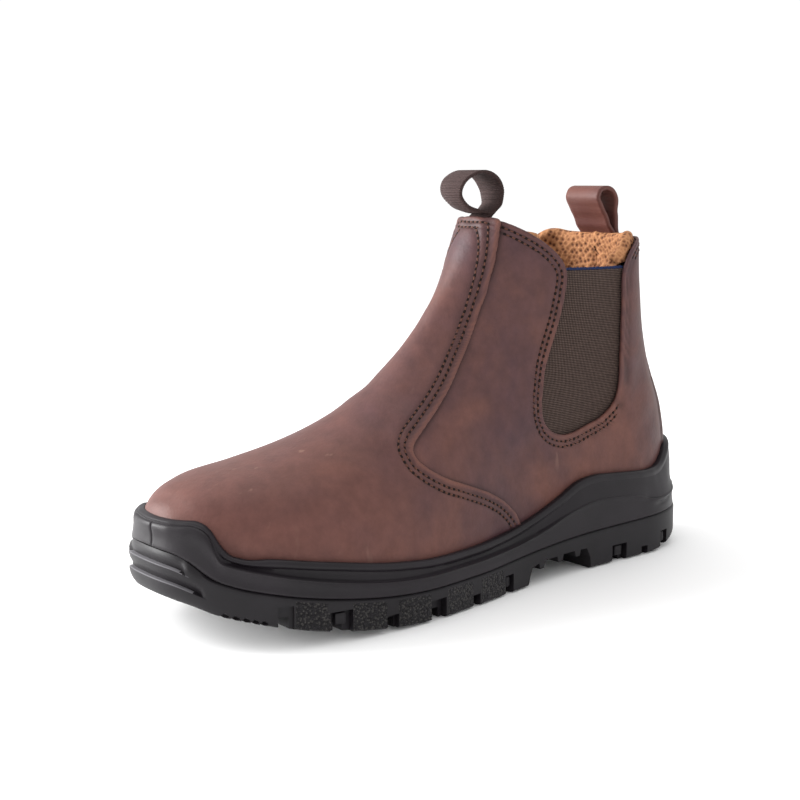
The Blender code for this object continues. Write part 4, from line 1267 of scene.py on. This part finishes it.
def longCutter(across, start, end, steps=24):
    half = tread["groove"] / 2
    a = np.linspace(start, end, steps)
    x = across * boot["ballWidth"] * sideWidth(a, 1) / 0.5 + axisShift(a)
    y = boot["soleLength"] * (0.5 - a)
    high = ground(a) + 0.8 * tread["depth"]
    bm = bmesh.new()
    rows = []
    for k in range(steps):
        corners = ((-half, high[k]), (half, high[k]), (half, -0.02), (-half, -0.02))
        rows.append([bm.verts.new((x[k] + dx, y[k], z)) for dx, z in corners])
    for near, far in zip(rows, rows[1:]):
        for c in range(4):
            bm.faces.new((near[c], near[(c + 1) % 4], far[(c + 1) % 4], far[c]))
    bm.faces.new(rows[0])
    bm.faces.new(rows[-1])
    return cutterFrom("longCut", bm)


def notchCutter():
    bm = bmesh.new()
    for start, end, tall, deep, _ in notches:
        for side in (1, -1):
            x, y, run, out = edgeFrame(start, end, side)
            top = float(ground((start + end) / 2)) + tall * 0.001
            for v in bmesh.ops.create_cube(bm, size=1.0)["verts"]:
                k = 0 if v.co.y < 0 else 1
                reach = 0.006 if v.co.x > 0 else -deep * 0.001
                high = top - (0.0 if reach > 0 else 0.0012) if v.co.z > 0 else top - 0.04
                v.co = Vector((x[k] + out.x * reach, y[k] + out.y * reach, high))
    return cutterFrom("notchCut", bm)


def treadCutters():
    hollow = [(boot["soleLength"] * (0.5 - a), h * boot["soleDepth"]) for a, h in waist]
    made = [prismFrom("waistCut", hollow, tread["reach"]), crossCutter()]
    made += [longCutter(*row) for row in runs]
    return made + [notchCutter()]


def carve(piece, cutters):
    # Takes the cutters away from a piece, and then out of the scene.
    for cutter in cutters:
        made = piece.modifiers.new(cutter.name, "BOOLEAN")
        made.operation = "DIFFERENCE"
        made.solver = "EXACT"
        made.object = cutter
    graph = bpy.context.evaluated_depsgraph_get()
    carved = bpy.data.meshes.new_from_object(piece.evaluated_get(graph))
    piece.modifiers.clear()
    piece.data = carved
    for cutter in cutters:
        bpy.data.objects.remove(cutter)
    carved.set_sharp_from_angle(angle=math.radians(35))
    return carved


outsole = finish("outsole", ringSolid(outsoleRings()), materials["tread"], ["outsole"])
carved = carve(outsole, treadCutters())

# Stretches of the wall with a pebbled grain, and the toe's two ledges, whose upward faces get a painted
# highlight.
pebbled = [(0.489, 0.545), (0.565, 0.619), (0.653, 0.708), (0.732, 0.782), (0.820, 0.865)]
mask = carved.attributes.new("pebbleAndPaintedHighlight", "FLOAT", "FACE")
for polygon, cell in zip(carved.polygons, mask.data):
    a = 0.5 - polygon.center.y / boot["soleLength"]
    z = polygon.center.z
    tall = float(cubic(sidewallTable[:, 0], sidewallTable[:, 1], a)) * boot["rimHeight"] + float(spring(a))
    upright = abs(polygon.normal.z) < 0.5 and abs(polygon.normal.y) < 0.6
    inBand = 0.0015 < z < tall - 0.0012 and any(low < a < high for low, high in pebbled)
    cell.value = 1.0 if upright and inBand else 0.0
    # Painted highlight on the upward faces of the toe's two ledges.
    if a > (0.981 if z > 0.032 else 0.967) and polygon.normal.z > 0.4 and 0.025 < z < 0.037:
        cell.value = -0.8
print("scene: outsole", len(carved.polygons))

studs = {
    "height": 0.0050,
    "stand": 0.0030,        # out from the back of the notch
    "share": 0.50,          # of the notch's length
}


def notchStuds():
    bm = bmesh.new()
    for start, end, tall, deep, _ in [row for row in notches if row[4]]:
        for side in (1, -1):
            middle = (start + end) / 2
            half = (end - start) * studs["share"] / 2
            x, y, run, out = edgeFrame(middle - half, middle + half, side)
            top = float(ground(middle)) + tall * 0.001 - 0.0018
            size = Vector((boot["soleLength"] * 2 * half, 2 * studs["stand"], studs["height"]))
            at = Vector((x.mean(), y.mean(), top - size.z / 2)) - out * (deep * 0.001 + 0.0006)
            turn = Matrix((run, out, Vector((0, 0, 1)))).transposed().to_4x4()
            spot = Matrix.Translation(at) @ turn @ Matrix.Diagonal((*size, 1))
            bmesh.ops.create_cube(bm, size=1.0, matrix=spot)
    bmesh.ops.bevel(
        bm, geom=list(bm.edges), offset=0.0007, segments=2, profile=0.5, material=-1, affect="EDGES",
    )
    bmesh.ops.recalc_face_normals(bm, faces=bm.faces)
    return bm


finish("treadStuds", notchStuds(), materials["tread"], smooth=40)

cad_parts["insole"].data.materials.clear()
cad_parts["insole"].data.materials.append(materials["footbed"])


# Pull loops

loops = {
    "front": {
        "name": "frontPullLoop", "node": "front_pull_loop", "slot": "ribbed_webbing",
        "width": 0.0195, "thickness": 0.0012, "lean": 0.0032, "skew": 0.0018, "aside": -0.0042,
        "table": [
            (0.5930, -0.0060), (0.5700, 0.0040), (0.5475, 0.0210), (0.5430, 0.0420), (0.5436, 0.0600),
            (0.5510, 0.0820), (0.5680, 0.1010), (0.5890, 0.1100), (0.6090, 0.1030), (0.6245, 0.0820),
            (0.6300, 0.0540), (0.6200, 0.0240), (0.6040, 0.0060),
        ],
        "ribs": 0.00105,     # from rib to rib
        "ribRise": 0.00032,
    },
    "rear": {
        "name": "rearPullLoop", "node": "rear_pull_loop", "slot": "loop_leather",
        "width": 0.0225, "thickness": 0.0020, "lean": -0.0028, "skew": 0.0, "aside": 0.0,
        "table": [
            (0.8640, 0.0250), (0.8415, 0.0730), (0.8330, 0.1020), (0.8380, 0.1195), (0.8520, 0.1275),
            (0.8670, 0.1200), (0.8765, 0.0990), (0.8765, 0.0580),
        ],
        "ribs": 0.0,
        "ribRise": 0.0,
    },
    "tail": 0.014,
    "gap": 0.0002,
    "turn": 0.573,          # the skew ends behind this share of the upper's length
}


def loopPiece(data, front, material):
    # A strap bent over from behind the leather and back, as a row of points in side view given its width.
    base = boot["collarFront"] if front else boot["collarBack"]
    ring = [(toeY + a * upperLength, base + r * boot["collarFront"]) for a, r in data["table"]]
    sign = 1 if front else -1
    gap = loops["gap"]

    def inside(x, z):
        hit = shell.ray_cast(Vector((x, sign * -0.2 + 0.05, z)), Vector((0, sign, 0)), 0.3)
        lean = 1 / max(abs(hit[1].y), 0.3)
        return hit[0].y + sign * (boot["wall"] - 0.0002 + gap) * lean, lean

    turnY = toeY + loops["turn"] * upperLength
    first = data["thickness"] / 2 + gap
    second = first + data["thickness"] + gap
    column = [base - loops["tail"] * k for k in (1.0, 0.55, 0.12)]
    if front:
        ring = ring[::-1]
    middle = float(axisShift(0.42)) + data["aside"]
    tails = []
    for distance in (first, second):
        tails.append([(inside(middle, z)[0] + sign * distance * inside(middle, z)[1], z) for z in column])
    path = np.array(tails[1] + ring + tails[0][::-1])
    lengths = np.concatenate([[0], np.cumsum(np.linalg.norm(np.diff(path, axis=0), axis=1))])
    count, across = 420 if data["ribs"] else 160, 16
    at = np.linspace(0, lengths[-1], count + 1)
    y, z = cubic(lengths, path[:, 0], at), cubic(lengths, path[:, 1], at)
    tangent = np.stack([np.gradient(y), np.gradient(z)], 1)
    tangent /= np.linalg.norm(tangent, axis=1, keepdims=True)
    low = column[0]
    bm, verts = gridMesh(count, across)
    for j in range(across + 1):
        x = (j / across - 0.5) * data["width"]
        spread = inside(x + middle, low)[0] - inside(middle, low)[0]
        skew = data["skew"] * (0.5 - j / across)
        for i in range(count + 1):
            tail = 1 - 0.75 * float(ramp(z[i], base - 0.002, base + 0.016))
            wave = 0.5 * data["ribRise"] * math.cos(2 * math.pi * at[i] / (data["ribs"] or 1.0))
            settled = data["lean"] * (1 - float(ramp(z[i], base, base + 0.009)))
            settled += skew * max(0.0, min(1.0, (turnY - y[i]) / 0.012))
            back = y[i] + settled + spread * tail - tangent[i, 1] * wave
            verts[i, j].co = (x + middle, back, z[i] + tangent[i, 0] * wave)
    bmesh.ops.recalc_face_normals(bm, faces=bm.faces)
    thick = data["thickness"]
    return finish(data["name"], bm, material, [data["node"]], thickness=thick, offset=0.0)


loopPiece(loops["front"], True, materials["webbing"])
loopPiece(loops["rear"], False, materials["strap"])
print("scene: loops")


# Stage

stage = {
    "azimuth": 50.543711,
    "elevation": 9.724145,
    "roll": 0.085166,
    "distance": 0.65,
    "focal": 1367.6147,     # in pixels of an 800 pixel frame
    "centre": (435.5703, 412.9837),
    "aim": (-planCentre, 0.0, 0.080),
}


def addCamera():
    data = bpy.data.cameras.new("camera")
    camera = bpy.data.objects.new("camera", data)
    bpy.context.scene.collection.objects.link(camera)
    data.sensor_width = 36
    data.lens = stage["focal"] * 36 / 800
    data.shift_x = (400 - stage["centre"][0]) / 800
    data.shift_y = (stage["centre"][1] - 400) / 800
    data.clip_start = 0.01
    a, e = math.radians(stage["azimuth"]), math.radians(stage["elevation"])
    back = Vector((math.sin(a) * math.cos(e), -math.cos(a) * math.cos(e), math.sin(e)))
    look = (-back).to_track_quat("-Z", "Y").to_matrix().to_4x4()
    turn = Matrix.Rotation(-math.radians(stage["roll"]), 4, "Z")
    camera.matrix_world = Matrix.Translation(Vector(stage["aim"]) + back * stage["distance"]) @ look @ turn
    bpy.context.scene.camera = camera


def addLight(name, place, aim, size, power, colour="#ffffff"):
    data = bpy.data.lights.new(name, "AREA")
    data.shape = "RECTANGLE"
    data.size, data.size_y = size
    data.energy = power
    data.color = toLinear(colour)[:3]
    light = bpy.data.objects.new(name, data)
    bpy.context.scene.collection.objects.link(light)
    light.location = place
    light.rotation_euler = (Vector(aim) - Vector(place)).to_track_quat("-Z", "Y").to_euler()


def addFloor():
    bm = bmesh.new()
    bmesh.ops.create_grid(bm, x_segments=1, y_segments=1, size=6.0)
    mesh = bpy.data.meshes.new("floor")
    bm.to_mesh(mesh)
    bm.free()
    floor = bpy.data.objects.new("floor", mesh)
    bpy.context.scene.collection.objects.link(floor)
    made, tree, shader = newMaterial("paleSweep", Roughness=0.9)
    shader.inputs["Base Color"].default_value = toLinear("#ffffff")
    mesh.materials.append(made)
    floor.location.z = -0.0003


addCamera()
addFloor()
world = bpy.data.worlds.new("studio")
world.use_nodes = True
background = world.node_tree.nodes["Background"]
background.inputs["Color"].default_value = toLinear("#ffffff")
background.inputs["Strength"].default_value = 1.04
bpy.context.scene.world = world
bpy.context.scene.view_settings.view_transform = "Standard"
addLight("keyLight", (-1.05, -1.00, 0.80), (0, 0, 0.07), (0.8, 0.8), 27)
addLight("frontLight", (-0.95, -1.20, 0.30), (0, 0, 0.12), (0.5, 0.5), 22)
addLight("topLight", (-0.2, 0.1, 1.3), (0, 0, 0.05), (1.0, 1.0), 3)
print("scene: stage")
